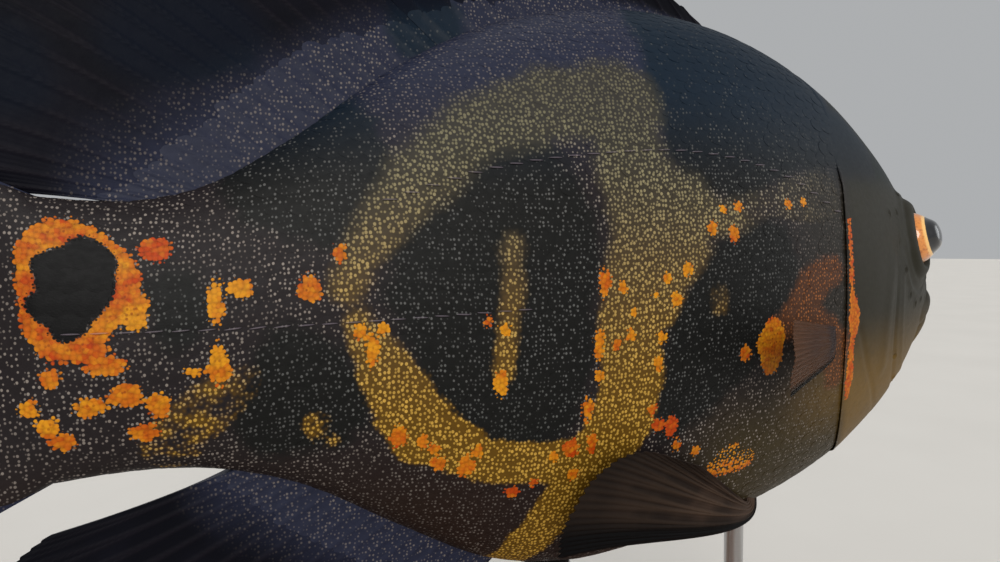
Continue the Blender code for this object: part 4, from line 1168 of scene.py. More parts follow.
@dataclass
class Scales:
    """Overlapping scales in staggered rows over trunk, gill covers, nape and tail root.

    Each scale is a thin plate with an oval outline. Its front is sunk in the skin under the
    scales ahead of it and its rear edge stands a little proud.
    """

    skin: Skin
    step_mm: float = 3.7
    row_mm: float = 4.1
    row_shrink: float = 0.012
    cells: int = 7
    overlap: float = 1.62
    tall_share: float = 0.60
    crown_mm: float = 0.06
    growth_mm: float = 0.012
    lift_mm: float = 0.14
    rim_mm: float = 0.16
    seed: int = 5
    trunk_from: float = 0.35
    trunk_span: tuple = (20.0, FISH.scaly_end - 0.6)
    trunk_parts: tuple = (("front", 0, 52), ("middle", 52, 74), ("rear", 74, 110))
    head_step_mm: float = 2.9
    head_row_mm: float = 2.8
    head_span: tuple = (12.0, 34.0)
    gill_margin: float = 1.1
    cheek_from: float = 12.5
    off_eye: float = 0.0135
    throat_angle: float = 140.0

    def plate(self) -> tuple[np.ndarray, np.ndarray, np.ndarray]:
        """One scale on a flat unit disc: its points, which are its rim, and its faces.

        A square grid (u, v) is carried to a disc by u * sqrt(1 - v^2 / 2) and the like. The rim
        is repeated lower down as a skirt, and a fan closes the underside.
        """
        count = self.cells + 1
        u, v = np.meshgrid(np.linspace(-1, 1, count), np.linspace(-1, 1, count), indexing="ij")
        disc = np.stack([u * np.sqrt(1 - v**2 / 2), v * np.sqrt(1 - u**2 / 2)], -1).reshape(-1, 2)
        rim = grid_rim(count, count)
        skirt = np.arange(len(rim)) + count * count
        centre = count * count + len(rim)
        turn = np.roll(np.arange(len(rim)), -1)
        faces = np.concatenate([
            grid_faces(count, count, False),
            np.stack([rim, skirt, skirt[turn]], -1), np.stack([rim, skirt[turn], rim[turn]], -1),
            np.stack([np.full(len(rim), centre), skirt[turn], skirt], -1)])
        flat = np.concatenate([disc, disc[rim] * 0.97, [[0.0, 0.0]]])
        low = np.concatenate([np.zeros(count * count), np.ones(len(rim) + 1)])
        return flat, low, faces

    def roots(self, first: float, last: float, step_mm: float,
              row_mm: float) -> tuple[np.ndarray, np.ndarray, np.ndarray]:
        """Places and distances round the body of one side's scales, with each one's row height."""
        rows = np.arange(-30, 31)
        rise = np.sign(rows) * row_mm * (np.abs(rows) - self.row_shrink * rows**2 * (row_mm / self.row_mm))
        tall = row_mm * (1 - 2 * self.row_shrink * np.abs(rows))
        percent_mm = FISH.percent / MM
        columns = np.arange(first * percent_mm, last * percent_mm, step_mm)
        x_mm = columns[None] + np.where(rows % 2, step_mm / 2, 0)[:, None]
        place = x_mm / percent_mm
        rise_grid = np.broadcast_to(rise[:, None] * MM, place.shape)
        top = GIRTH.distance(place, np.zeros_like(place))
        bottom = GIRTH.distance(place, np.full_like(place, 180.0))
        keep = (rise_grid < top - 0.0006) & (rise_grid > bottom + 0.0006)
        tall_grid = np.broadcast_to(tall[:, None], place.shape)
        return place[keep], rise_grid[keep], tall_grid[keep]

    def lay(self, place: np.ndarray, rise: np.ndarray, tall_mm: np.ndarray, step_mm: float, side: int,
            lift_mm: np.ndarray, base: Callable) -> Surface:
        """Lays a plate at each root, following the skin.

        Args:
            place: where each scale's middle is along the fish.
            rise: distance of each from the widest level.
            tall_mm: height of each one's row.
            step_mm: distance between scales along a row.
            side: 1 for the right side, -1 for the left.
            lift_mm: how proud each one's rear edge stands.
            base: lift of the skin below a place and angle.

        Returns:
            All the scales as one surface.
        """
        flat, low, faces = self.plate()
        draw = np.random.default_rng(self.seed + side)
        count = len(place)
        size = draw.normal(1, 0.035, (count, 2))
        percent_mm = FISH.percent / MM
        long_half = step_mm * self.overlap / 2 * size[:, :1]
        tall_half = tall_mm[:, None] * self.tall_share * size[:, 1:]
        shift = draw.normal(0, 0.10, (count, 2))
        x = place[:, None] + (flat[None, :, 0] * long_half + shift[:, :1]) / percent_mm
        g = rise[:, None] + (flat[None, :, 1] * tall_half + shift[:, 1:]) * MM
        x = np.clip(x, 0.5, FISH.scaly_end - 0.02)
        angle = GIRTH.angle(x, g)
        stand = lift_mm[:, None] * (0.5 + 0.5 * flat[None, :, 0]) ** 1.1 * draw.normal(1, 0.12, (count, 1))
        crown = self.crown_mm * (1 - (flat**2).sum(-1))[None]
        growth = self.growth_mm * np.cos(np.linalg.norm(flat + [0.6, 0], axis=-1) * 26)[None]
        height = (stand + crown + growth - low[None] * self.rim_mm) * MM + 0.00002
        angle = angle if side > 0 else 360 - angle
        points = FISH.point(x, angle) + FISH.normal(x, angle) * (height + base(x, angle))[..., None]
        all_faces = repeated(faces, count, len(flat))
        layers = MARKINGS.layers(x.reshape(-1), angle.reshape(-1))
        along = 0.02 + 0.9 * place / FISH.scaly_end
        around = 0.5 + side * (0.012 + 0.46 * GIRTH.angle(place, rise) / 180)
        bake = np.stack([along, around], -1)[:, None] + flat[None] * 0.0015
        surface = Surface(FISH.in_place(points).reshape(-1, 3), all_faces, layers, bake.reshape(-1, 2))
        return surface.facing_out()

    def build(self, finishes: Finishes) -> None:
        """Trunk scales in three lengths a side, and smaller ones on gill cover, cheek and nape."""
        for side, tag in ((1, "right"), (-1, "left")):
            place, rise, tall = self.roots(*self.trunk_span, self.step_mm, self.row_mm)
            keep = place - FISH.gill_edge(GIRTH.angle(place, rise)) > self.trunk_from
            place, rise, tall = place[keep], rise[keep], tall[keep]
            for part, first, last in self.trunk_parts:
                chosen = (place >= first) & (place < last)
                lift = self.lift_mm * smooth_step(place[chosen], 106, 96)
                surface = self.lay(place[chosen], rise[chosen], tall[chosen], self.step_mm, side,
                                   lift, self.skin.trunk_lift)
                show(surface.to_object(f"scales_{tag}_{part}", finishes.scales, 40), "flank_skin")
            place, rise, tall = self.roots(*self.head_span, self.head_step_mm, self.head_row_mm)
            angle = GIRTH.angle(place, rise)
            ahead = FISH.gill_edge(angle) - place
            centre, _ = self.skin.eye_centre()
            clear = np.linalg.norm(FISH.point(place, angle) - centre, axis=-1) > self.off_eye
            cheek = place > self.cheek_from + np.maximum(angle - 100, 0) * 0.08
            keep = (ahead > self.gill_margin) & cheek & clear & (angle < self.throat_angle)
            place, rise, tall, ahead = place[keep], rise[keep], tall[keep], ahead[keep]
            lift = 0.05 * smooth_step(place, 12, 20) * smooth_step(ahead, 0.8, 2.0) + 0.01
            surface = self.lay(place, rise, tall, self.head_step_mm, side, lift, self.head_base)
            show(surface.to_object(f"scales_{tag}_head", finishes.scales, 40), "head_skin")

    def head_base(self, place: np.ndarray, angle: np.ndarray) -> np.ndarray:
        """Lift of the head's skin, a little deeper than the skin itself so that scales sit in it."""
        return self.skin.head_flare(place, angle) - 0.00022 + self.skin.head_relief(place, angle)


@dataclass
class FinScales:
    """Small scales that climb from the body on to the roots of the fins of the middle plane."""

    scales: Scales
    long_mm: float = 3.3
    tall_mm: float = 3.0
    lift_mm: float = 0.13
    first_mm: float = 0.4
    step_share: float = 0.55
    row_share: float = 0.84
    half_share: float = 0.56
    seed: int = 45
    plain: tuple = (("hue", (0.9, 0.0, -99.0)), ("mood", (0.0, 0.0, 0.0)), ("tone", (-99.0, 0.0, 0.0)))

    def sheath(self, name: str, faces: tuple[np.ndarray, np.ndarray], cover_mm: tuple,
               finishes: Finishes) -> None:
        """Lays plates on both faces of a fin.

        Args:
            name: the piece's name.
            faces: points of the two faces, rows along the rays, in the straight fish.
            cover_mm: how far up the rays the scales reach, from the fin's front to its rear.
            finishes: the model's finishes.
        """
        flat, low, plate_faces = self.scales.plate()
        draw = np.random.default_rng(self.seed)
        points, bakes, blocks, laid = [], [], [], 0
        for order, face in enumerate(faces):
            rows, columns = face.shape[:2]
            normal = unit(face - faces[1 - order])
            across = np.linalg.norm(np.diff(face[2], axis=0), axis=-1).sum() / MM
            length = np.linalg.norm(np.diff(face, axis=0), axis=-1).sum(0) / MM
            count = int(across / (self.tall_mm * self.row_share))
            u0 = (np.arange(count) + 0.5) / count
            reach = smooth_curve(u0, np.linspace(0, 1, len(cover_mm)), cover_mm)
            here = np.interp(u0, np.linspace(0, 1, columns), length)
            step_mm = self.long_mm * self.step_share
            roots = []
            for k in range(int(max(cover_mm) / step_mm) + 1):
                at = step_mm * k + self.first_mm
                keep = at < reach
                shift = 0.5 / count if k % 2 else 0
                roots.append(np.stack([u0[keep] + shift, at / here[keep], here[keep]]))
            u0, v0, here = np.concatenate(roots, axis=1)
            size = draw.normal(1, 0.06, (len(u0), 2))
            u = u0[:, None] + flat[None, :, 1] * size[:, :1] * self.tall_mm * self.half_share / across
            v = v0[:, None] + flat[None, :, 0] * size[:, 1:] * self.long_mm * self.half_share / here[:, None]
            i, j = np.clip(v, 0, 0.999) * (rows - 1), np.clip(u, 0.001, 0.999) * (columns - 1)
            base, outward = read_grid(face, i, j), read_grid(normal, i, j)
            stand = self.lift_mm * (0.5 + 0.5 * flat[None, :, 0]) ** 1.2 * draw.normal(1, 0.12, (len(u0), 1))
            height = (stand + 0.05 * (1 - (flat**2).sum(-1))[None] - low[None] * 0.12 + 0.03) * MM
            points.append((base + outward * height[..., None]).reshape(-1, 3))
            place = np.stack([0.05 + 0.9 * u0, 0.25 + 0.5 * order + 0.2 * v0], -1)
            bakes.append((place[:, None] + flat[None] * 0.0015).reshape(-1, 2))
            turned = plate_faces[:, [0, 2, 1]] if order else plate_faces
            blocks.append(repeated(turned, len(u0), len(flat)) + laid * len(flat))
            laid += len(u0)
        points = np.concatenate(points)
        layers = MARKINGS.fin_layers(points)
        layers.update({key: np.tile(value, (len(points), 1)) for key, value in self.plain})
        surface = Surface(FISH.in_place(points), np.concatenate(blocks), layers, np.concatenate(bakes))
        show(surface.facing_out().to_object(name, finishes.scales, 40), "dark_fin")


@dataclass
class LateralLine:
    """The pored tubes of the two lengths of lateral line on each side."""

    upper: tuple = ((34.0, 21.0), (40, 28), (50, 33), (60, 32), (70, 28), (77, 22.5))
    lower: tuple = ((67, 1.5), (75, 0.8), (85, 0.2), (98, 0.5))
    spacing_mm: float = 3.7
    half_long_mm: float = 1.35
    half_wide_mm: float = 0.15

    def build(self, finishes: Finishes) -> None:
        """A small half tube on each scale of the line, thickest in its middle."""
        turn = np.linspace(0, 2 * np.pi, 12, endpoint=False)
        along, around = np.meshgrid(np.linspace(-1, 1, 9), turn, indexing="ij")
        for side, tag in ((1, "right"), (-1, "left")):
            whole = None
            for line in (self.upper, self.lower):
                stations, heights = np.array(line).T
                count = int((stations[-1] - stations[0]) * FISH.percent / MM / self.spacing_mm)
                place = np.linspace(stations[0], stations[-1], count)
                height = smooth_curve(place, stations, heights) * MM
                rise = GIRTH.distance(place, FISH.flank_angle(place, height))
                swell = self.half_wide_mm * np.sqrt(np.clip(1 - along**2 * 0.96, 0, 1))
                x = place[:, None, None] + along * self.half_long_mm * MM / FISH.percent
                g = rise[:, None, None] + swell * np.cos(around) * MM
                angle = GIRTH.angle(x, g)
                angle = angle if side > 0 else 360 - angle
                lift = (0.03 + swell * 0.9 * np.sin(around)) * MM
                points = FISH.in_place(FISH.point(x, angle) + FISH.normal(x, angle) * lift[..., None])
                layers = MARKINGS.layers(x + 0 * angle, angle)
                for index, tube in enumerate(points):
                    piece = capped_grid(tube).facing_out()
                    piece.layers = {key: with_ends(values[index]) for key, values in layers.items()}
                    whole = piece if whole is None else whole.joined(piece)
            show(whole.to_object(f"lateral_line_{tag}", finishes.pores), "flank_skin")


@dataclass
class Eyes:
    """Two eyeballs, each with a lens that bulges through the pupil."""

    skin: Skin
    rings: int = 72
    around: int = 96
    lens_tilt: float = 42.0
    lens_bulge: float = 0.0007

    def build(self, finishes: Finishes) -> None:
        """A ball about the way the eye looks, pushed out over the pupil by a smooth cap."""
        centre, outward = self.skin.eye_centre()
        back = unit(np.cross(outward, [0.0, 0.0, 1.0]))
        upright = np.cross(back, outward)
        tilt = np.linspace(0, 180, self.rings + 2)[1:-1, None]
        turn = np.linspace(0, 2 * np.pi, self.around, endpoint=False)[None]
        bulge = self.lens_bulge * smooth_step(tilt, self.lens_tilt, self.lens_tilt - 22)
        reach = self.skin.eye_radius + bulge
        lean = np.radians(tilt)[..., None]
        spoke = np.cos(turn)[..., None] * back + np.sin(turn)[..., None] * upright
        ball = centre + reach[..., None] * (np.cos(lean) * outward + np.sin(lean) * spoke)
        front = centre + outward * reach[0]
        rear = centre - outward * self.skin.eye_radius
        gaze = with_ends(np.stack(np.broadcast_arrays(tilt, np.cos(turn), np.sin(turn)), -1))
        gaze[-2, 0] = 0.0
        for name, flip, node in (("eye_right", np.ones(3), "eye_r"), ("eye_left", MIRROR, "eye_l")):
            surface = capped_grid(FISH.in_place(ball * flip), FISH.in_place(front * flip),
                                  FISH.in_place(rear * flip))
            surface.layers = {"gaze": gaze}
            show(surface.facing_out().to_object(name, finishes.eye), "eye", node)


class Branching(Enum):
    """How a ray divides towards the fin's edge: into 1, 2 or 4."""

    SPINE = 1
    FORKED = 2
    TWICE_FORKED = 4


@dataclass
class RaySheet:
    """A fin: a thin sheet with a ridge for each ray on both faces.

    Across the fin, u runs from 0 to 1; along the rays, v runs from the root to the edge.
    """

    rays: int
    branching: Branching
    rows: int = 44
    per_ray: int = 16
    skin_mm: float = 0.40
    ray_mm: float = 0.80
    ray_width: float = 0.17
    root_fade: float = 0.4
    notch: float = 0.02
    seed: int = 1

    def grid(self) -> tuple[np.ndarray, np.ndarray]:
        """The grid's u and v."""
        u = np.linspace(0, 1, self.rays * self.per_ray + 1)
        v = np.linspace(0, 1, self.rows)
        return u[None], v[:, None]

    def ridge(self, u: np.ndarray, v: np.ndarray) -> np.ndarray:
        """Height of the rays, 0 to 1: bells about each branch, which draw apart as v grows."""
        off = (u * self.rays) % 1.0 - 0.5
        fork = 0.25 * smooth_step(v, 0.38, 0.95) if self.branching != Branching.SPINE else 0 * v
        twig = 0.12 * smooth_step(v, 0.66, 1.0) if self.branching == Branching.TWICE_FORKED else 0 * v
        width = self.ray_width * (1 - 0.45 * v)
        height = np.zeros(np.broadcast_shapes(np.shape(u), np.shape(v)))
        for first in (-1, 1):
            for second in (-1, 1):
                height = np.maximum(height, hump(off - first * fork - second * twig, width))
        return height

    def edge_length(self, u: np.ndarray) -> np.ndarray:
        """Length of the sheet at u, from 1 at a ray's tip to less between rays, a little ragged."""
        draw = np.random.default_rng(self.seed)
        tip = self.ridge(u, np.ones_like(u))
        ragged = np.interp(u[0], np.linspace(0, 1, self.rays * 2), draw.uniform(-1, 1, self.rays * 2))
        return 1 - self.notch * (1 - tip) - 0.25 * self.notch * (1 + ragged[None])

    def build(self, name: str, middle: np.ndarray, root_half_mm: np.ndarray, material: bpy.types.Material,
              slot: str, *nodes: str) -> tuple[np.ndarray, np.ndarray]:
        """Gives the middle surface its thickness and shows it.

        Args:
            name: the piece's name.
            middle: points of the middle surface over the grid, in the straight fish.
            root_half_mm: half the thickness of the root at each u.
            material: its finish.
            slot: not used.
            nodes: the nodes that it stands for.

        Returns:
            Points of the two faces over the grid, in the straight fish.
        """
        u, v = self.grid()
        ridge = self.ridge(u, v)
        half = self.skin_mm / 2 + ridge * (self.ray_mm - self.skin_mm) / 2 * (1 - 0.62 * v)
        half = half + root_half_mm * np.clip(1 - v / self.root_fade, 0, 1) ** 2
        half = half * (1 - 0.7 * smooth_step(v, 0.94, 1.0))
        along, across = np.gradient(middle, axis=0), np.gradient(middle, axis=1)
        normal = unit(np.cross(along, across))
        near = middle + normal * half[..., None] * MM
        far = middle - normal * half[..., None] * MM
        rows, columns = middle.shape[:2]
        points = np.concatenate([near.reshape(-1, 3), far.reshape(-1, 3)])
        face = grid_faces(rows, columns, False)
        rim = grid_rim(rows, columns)
        following = np.roll(rim, -1)
        other = rows * columns
        wall = np.concatenate([np.stack([rim, rim + other, following + other], -1),
                               np.stack([rim, following + other, following], -1)])
        faces = np.concatenate([face, (face + other)[:, ::-1], wall[:, ::-1]])
        layer = np.stack(np.broadcast_arrays(ridge, v, u * self.rays), -1).reshape(-1, 3)
        layers = {"fin": np.concatenate([layer, layer]), **MARKINGS.fin_layers(points)}
        surface = Surface(FISH.in_place(points), faces, layers)
        item = surface.facing_out().to_object(name, material, 75)
        show(item, slot, *nodes)
        return near, far


@dataclass
class UprightFin:
    """A fin in the middle plane, whose rays lean back and curl as they rise from back or belly."""

    first: float
    last: float
    side: int
    sheet: RaySheet
    lean: tuple
    length: tuple
    root_mm: tuple
    curl: tuple = ((0.0, 1.0), (9.0, 9.0))
    sunk: float = 0.0012
    sweep: float = 0.0
    sweep_from: float = 84.0

    def middle(self) -> np.ndarray:
        """Middle surface: each ray an arc from its root, with a slow wave that grows to the edge."""
        u, v = self.sheet.grid()
        place = self.first + (self.last - self.first) * u
        lean = np.radians(smooth_curve(place, *self.lean))
        curl = np.radians(smooth_curve(place, *self.curl))
        length = smooth_curve(place, *self.length) * FISH.percent * self.sheet.edge_length(u)
        back_run = (np.cos(lean) - np.cos(lean + curl * v)) / curl * length
        up_run = (np.sin(lean + curl * v) - np.sin(lean)) / curl * length
        back, belly, _ = FISH.outline(place)
        edge = back if self.side > 0 else belly
        x = -place * FISH.percent - back_run
        z = edge + self.side * (up_run - self.sunk * (1 - v))
        rear = np.clip((place - self.sweep_from) / (self.last - self.sweep_from), 0, 1)
        wave = (0.0016 * np.sin(np.radians(place * 14)) + self.sweep * rear**2) * v**2
        return np.stack(np.broadcast_arrays(x, wave, z), -1)

    def build(self, name: str, material: bpy.types.Material, slot: str, *nodes: str) -> tuple:
        """Builds the fin's sheet and returns the points of its two faces."""
        u, _ = self.sheet.grid()
        root = smooth_curve(self.first + (self.last - self.first) * u, *self.root_mm)
        return self.sheet.build(name, self.middle(), root, material, slot, *nodes)


@dataclass
class Fins:
    """All eight fins, as finer forms of the model's own."""

    sheaths: FinScales

    def upright(self, finishes: Finishes) -> None:
        """The dorsal fin's spines and rays, and the anal fin."""
        spiny = UprightFin(
            37.5, 71.0, 1, RaySheet(13, Branching.SPINE, rows=36, ray_mm=1.2, ray_width=0.14, notch=0.14,
                                    skin_mm=0.40, seed=2),
            lean=((37.5, 48, 60, 71), (54, 46, 45, 48)),
            length=((37.5, 42, 48, 57, 65, 71), (4.5, 7.8, 9.6, 10.6, 11.6, 14.0)),
            root_mm=((37.5, 60, 71), (1.0, 1.2, 1.6)), curl=((37.5, 60, 71), (5, 6, 9)))
        faces = spiny.build("dorsal_fin_spines", finishes.fin, "dark_fin", "dorsal_fin_spiny")
        self.sheaths.sheath("scales_spiny_dorsal", faces, (1.5, 3.5, 5.0, 8.0), finishes)
        soft = UprightFin(
            71.0, 94.5, 1, RaySheet(19, Branching.TWICE_FORKED, rows=64, seed=3),
            lean=((71, 80, 88, 94.5), (48, 52, 62, 83)),
            length=((71, 78, 84, 88, 92, 94.5), (14.0, 19.5, 24.0, 24.5, 19.0, 12.5)),
            root_mm=((71, 84, 94.5), (1.6, 2.2, 1.4)), sweep=0.007)
        faces = soft.build("dorsal_fin_rays", finishes.fin, "dark_fin", "dorsal_fin_soft")
        self.sheaths.sheath("scales_soft_dorsal", faces, (7.0, 11.0, 12.0, 9.0, 5.0), finishes)
        anal = UprightFin(
            66.0, 88.0, -1, RaySheet(18, Branching.TWICE_FORKED, rows=60, seed=4),
            lean=((66, 74, 82, 88), (46, 52, 62, 74)),
            length=((66, 69, 73, 78, 82, 86, 88), (4.0, 9.5, 15.5, 21.0, 22.5, 19.0, 13.0)),
            root_mm=((66, 78, 88), (1.2, 2.4, 1.6)))
        faces = anal.build("anal_fin_rays", finishes.fin, "dark_fin", "anal_fin")
        self.sheaths.sheath("scales_anal", faces, (2.5, 8.0, 11.0, 9.0, 4.0), finishes)

    def tail(self, finishes: Finishes) -> None:
        """Rounded tail fin: rays fan out from the end of the tail stalk."""
        sheet = RaySheet(15, Branching.TWICE_FORKED, rows=64, per_ray=18, root_fade=0.3, seed=5)
        u, v = sheet.grid()
        spread = 2 * u - 1
        top, bottom, _ = FISH.outline(100.0)
        base = (top + bottom) / 2 + spread * (top - bottom) / 2 * 0.97
        way = np.radians(spread * 27)
        length = 25 * FISH.percent * (1 - 0.05 * spread**2 - 0.13 * spread**6) * sheet.edge_length(u)
        x = -FISH.body_length + 0.001 - np.cos(way) * (length + 0.001) * v
        z = base + np.sin(way) * length * v
        wave = 0.0022 * np.sin(np.radians(spread * 150 + 20)) * v**2
        middle = np.stack(np.broadcast_arrays(x, wave, z), -1)
        root = 1.6 * np.sqrt(np.clip(1 - spread**2, 0, 1))
        sheet.build("tail_fin_rays", middle, root, finishes.fin, "dark_fin", "tail_fin")

    def paired(self, sheet: RaySheet, place: np.ndarray, angle: np.ndarray, tips: tuple,
               stand_off: np.ndarray, root_mm: float, names: tuple, material: bpy.types.Material,
               slot: str) -> None:
        """A fin on each side: each ray leaves the skin square and sweeps to its tip on one cubic.

        Args:
            sheet: the fin's rays.
            place: place of each ray's root.
            angle: angle of each ray's root.
            tips: knots across the fin, then x, y and z of the tips there, in percents.
            stand_off: how strongly the rays leave the skin.
            root_mm: half thickness of the root.
            names: (piece, node) for the right side and the left.
            material: its finish.
            slot: not used.
        """
        u, v = sheet.grid()
        knots, *rows = tips
        tip = np.stack([smooth_curve(u[0], knots, row) for row in rows], -1) * FISH.percent
        outward = FISH.normal(place, angle)
        root = FISH.point(place, angle) - outward * 0.0012
        tip = root + (tip - root) * sheet.edge_length(u)[0][:, None]
        t = (v**1.3)[..., None]
        middle = ((2 * t**3 - 3 * t**2 + 1) * root + (t**3 - 2 * t**2 + t) * outward * stand_off[:, None]
                  + (3 * t**2 - 2 * t**3) * tip + (t**3 - t**2) * (tip - root) * 1.05)
        for (piece, node), flip in zip(names, (np.ones(3), MIRROR)):
            sheet.build(piece, middle * flip, np.full(u.shape, root_mm), material, slot, node)

    def build(self, finishes: Finishes) -> None:
        """Builds every fin."""
        self.upright(finishes)
        self.tail(finishes)
        sheet = RaySheet(6, Branching.TWICE_FORKED, rows=56, per_ray=26, ray_mm=1.2, root_fade=0.3, seed=6)
        u = sheet.grid()[0][0]
        tips = ((0, 0.25, 0.5, 0.75, 1), (-64.6, -64.6, -62.5, -58.2, -51.7),
                (-9.2, -10.2, -11.4, -12.0, -12.0), (-20.3, -17.1, -13.0, -11.3, -13.6))
        stand_off = smooth_curve(u, (0, 0.5, 1), (0.040, 0.028, 0.016))
        names = (("pelvic_fin_right", "pelvic_fin_r"), ("pelvic_fin_left", "pelvic_fin_l"))
        self.paired(sheet, 36.8 + 3.8 * u, 161.0 - 13.0 * u, tips, stand_off, 1.5, names,
                    finishes.pelvic, "dark_fin")
        sheet = RaySheet(8, Branching.FORKED, rows=56, per_ray=20, ray_mm=0.55, skin_mm=0.25,
                         root_fade=0.3, seed=7)
        u = sheet.grid()[0][0]
        tips = ((0, 0.25, 0.5, 0.75, 1), (-47.6, -49.3, -49.8, -49.2, -47.0),
                (-17.6, -19.0, -19.6, -18.8, -17.0), (-0.5, -1.5, -3.1, -5.0, -7.1))
        place = 35.1 - 0.3 * u
        angle = FISH.flank_angle(place, -0.0062 - 0.0062 * u)
        names = (("pectoral_fin_right", "pectoral_fin_r"), ("pectoral_fin_left", "pectoral_fin_l"))
        self.paired(sheet, place, angle, tips, np.full(u.shape, 0.014), 1.4, names,
                    finishes.pectoral, "pale_fin")


@dataclass
class Stand:
    """Walnut base with eased edges, and two turned steel rods with felted saddles."""

    length: float = 0.176
    width: float = 0.112
    thickness: float = 0.016
    centre: float = 0.034
    corner: float = 0.030
    gap: float = 0.0003
    places: tuple = (("front", 34.5), ("rear", 60.5))
    edge_mm: tuple = ((1.2, 0.0), (0.55, 0.2), (0.15, 0.6), (0.0, 1.2), (0.0, 12.6), (0.18, 13.5),
                      (0.6, 14.4), (1.3, 15.2), (2.2, 15.75), (3.2, 16.0), (6.0, 16.0), (6.25, 15.75),
                      (6.7, 15.75), (6.95, 16.0))
    foot_mm: tuple = ((7.1, 0.0), (7.5, 0.4), (7.5, 1.6), (7.0, 2.1), (4.65, 3.4), (2.99, 4.8), (2.6, 5.8))
    saddle_mm: tuple = ((2.6, -8.5), (3.25, -6.5), (4.32, -3.4), (6.0, -2.0), (6.0, -1.2), (5.7, -0.9))
    pad_mm: tuple = ((5.4, -0.9), (5.6, -0.5), (5.3, 0.1))

    def base(self, finishes: Finishes) -> None:
        """Rings of the rounded rectangle, each drawn in by its inset, from foot to top."""
        turn = np.radians(np.linspace(0, 360, 96, endpoint=False) + 360 / 192)
        straight = np.array([self.length / 2 - self.corner, self.width / 2 - self.corner])
        arc = np.stack([np.cos(turn), np.sin(turn)], -1)
        outline = np.sign(arc) * straight + arc * self.corner
        rings = []
        for inset, height in self.edge_mm:
            shrink = 1 - inset * MM / np.array([self.length / 2, self.width / 2])
            flat = outline * shrink + np.array([self.centre, 0.0])
            rings.append(np.column_stack([flat, np.full(len(flat), height * MM)]))
        rings = np.array(rings)
        surface = capped_grid(rings).facing_out()
        show(surface.to_object("walnut_base", finishes.walnut, 30), "walnut", "stand_base")

    def turned(self, place: float, profile: np.ndarray, pad: bool) -> Surface:
        """Solid turned about a rod's axis, whose top follows the belly's keel.

        Args:
            place: where the rod meets the belly.
            profile: (radius, height) pairs from bottom to top.
            pad: whether the whole piece follows the belly.

        Returns:
            The closed surface.
        """
        centre = FISH.in_place(FISH.point(place, 180.0))
        top = centre[2] - self.gap
        turn = np.linspace(0, 2 * np.pi, 48, endpoint=False)
        radius, height = profile.T[:, :, None]
        x = centre[0] + radius * np.cos(turn)
        y = centre[1] + radius * np.sin(turn)
        belly = FISH.outline(place - (x - centre[0]) / FISH.percent)[1] + FISH.axis_height
        lift = 0.5 * (y - centre[1]) ** 2 / 0.018
        near = np.ones_like(height) if pad else np.clip((height - (top - 0.004)) / 0.004, 0, 1)
        z = height + near * (belly + lift - centre[2])
        rings = np.stack(np.broadcast_arrays(x, y, z), -1)
        return capped_grid(rings).facing_out()

    def build(self, finishes: Finishes) -> None:
        """The base, and each rod with its collar, saddle and felt pad."""
        self.base(finishes)
        foot = self.thickness + 0.0001
        for tag, place in self.places:
            top = FISH.in_place(FISH.point(place, 180.0))[2] - self.gap
            profile = np.array(self.foot_mm + self.saddle_mm) * MM
            profile[:, 1] += np.repeat([foot, top], [len(self.foot_mm), len(self.saddle_mm)])
            item = self.turned(place, profile, False).to_object(f"steel_rod_{tag}", finishes.steel, 40)
            show(item, "satin_steel", f"stand_rod_{tag}")
            pad = np.array(self.pad_mm) * MM + [0.0, top]
            show(self.turned(place, pad, True).to_object(f"felt_pad_{tag}", finishes.felt, 40), "satin_steel")


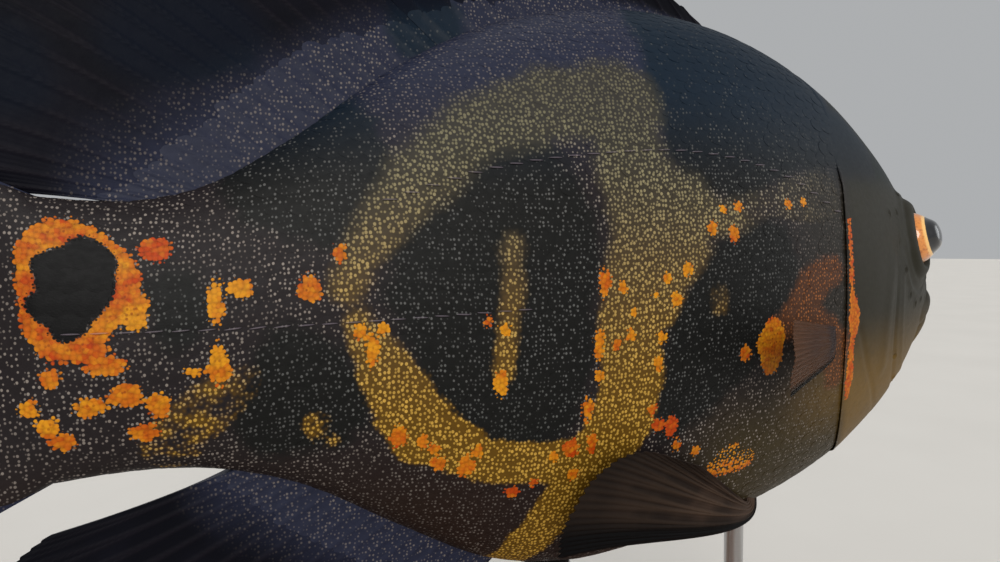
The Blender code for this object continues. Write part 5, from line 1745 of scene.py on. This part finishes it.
@dataclass
class Studio:
    """Pale floor, soft light and the camera near the tail, looking forward along the right flank."""

    camera_at: tuple = (-0.0602, -0.1180, 0.1491)
    yaw: float = math.radians(24.39)
    pitch: float = math.radians(-3.19)
    roll: float = math.radians(-0.82)
    focal_share: float = 0.5692
    sensor_mm: float = 36.0
    floor_half: float = 6.0
    floor_tones: tuple = (paint(184, 181, 176), paint(192, 189, 184))
    sky: tuple = (0.80, 0.82, 0.84, 1.0)
    sky_strength: float = 0.52
    lamp_angle: float = math.radians(38)
    aim_at: tuple = (0.0, 0.0, 0.12)
    lamps: tuple = (("key", (-0.45, -0.95, 0.55), 2.55, (1.0, 0.98, 0.95)),
                    ("fill", (0.85, -0.55, 0.40), 0.60, (0.95, 0.98, 1.0)),
                    ("far_side", (0.1, 0.95, 0.65), 2.10, (1.0, 0.99, 0.97)),
                    ("top", (0.0, 0.0, 1.3), 0.45, (1.0, 1.0, 1.0)))

    def floor(self) -> None:
        """A wide flat floor with a faintly uneven pale finish."""
        finish = Finish("pale_floor", Gloss(specular=0.05))
        cloud = finish.bench.noise(finish.place_mm(), 0.01, 3.0)
        finish.set(finish.bench.mix(cloud, *self.floor_tones), 0.9)
        side = self.floor_half
        corners = np.array([[-side, -side, 0.0], [side, -side, 0.0], [-side, side, 0.0], [side, side, 0.0]])
        surface = Surface(corners - [0, 0, 0.0002], np.array([[0, 1, 3], [0, 3, 2]]))
        surface.to_object("floor", finish.material)

    def lamp(self, name: str, at: tuple, strength: float, tint: tuple) -> None:
        """A far, wide light that faces the fish and lights the floor evenly, with soft shadows."""
        light = bpy.data.lights.new(name, "SUN")
        light.angle = self.lamp_angle
        light.energy = strength
        light.color = tint
        item = bpy.data.objects.new(name, light)
        bpy.context.scene.collection.objects.link(item)
        self.aim(item, at, unit(np.array(self.aim_at) - np.array(at)), np.array([0.0, 0.05, 1.0]))

    @staticmethod
    def aim(item: bpy.types.Object, at: tuple, forward: np.ndarray, upward: np.ndarray) -> None:
        """Places an object so that its -Z looks along forward, with upward in its upright plane."""
        right = unit(np.cross(forward, upward))
        up = np.cross(right, forward)
        matrix = np.eye(4)
        matrix[:3, :3] = np.stack([right, up, -forward], -1)
        matrix[:3, 3] = at
        item.matrix_world = Matrix(matrix.tolist())

    def camera(self) -> None:
        """The camera, turned by yaw, pitch and roll."""
        flat = math.cos(self.pitch)
        forward = np.array([math.sin(self.yaw) * flat, math.cos(self.yaw) * flat, math.sin(self.pitch)])
        level = np.array([math.cos(self.yaw), -math.sin(self.yaw), 0.0])
        straight = np.cross(level, forward)
        upward = -math.sin(self.roll) * level + math.cos(self.roll) * straight
        data = bpy.data.cameras.new("camera")
        data.sensor_width = self.sensor_mm
        data.lens = self.focal_share * self.sensor_mm
        data.clip_start = 0.005
        item = bpy.data.objects.new("camera", data)
        bpy.context.scene.collection.objects.link(item)
        self.aim(item, self.camera_at, forward, upward)
        bpy.context.scene.camera = item

    def build(self) -> None:
        """Floor, sky, lamps and camera."""
        self.floor()
        world = bpy.data.worlds.new("studio")
        world.use_nodes = True
        sky = world.node_tree.nodes["Background"].inputs
        sky["Color"].default_value = self.sky
        sky["Strength"].default_value = self.sky_strength
        bpy.context.scene.world = world
        for lamp in self.lamps:
            self.lamp(*lamp)
        bpy.context.scene.view_settings.view_transform = "Standard"
        self.camera()


def main() -> None:
    """Builds the fish, the stand and the studio, in that order."""
    logging.basicConfig(level=logging.INFO, format="%(message)s")
    finishes = Finishes()
    skin = Skin()
    skin.build(finishes)
    Scales(skin).build(finishes)
    LateralLine().build(finishes)
    Eyes(skin).build(finishes)
    Fins(FinScales(Scales(skin))).build(finishes)
    Stand().build(finishes)
    Studio().build()


if __name__ == "__main__":
    main()
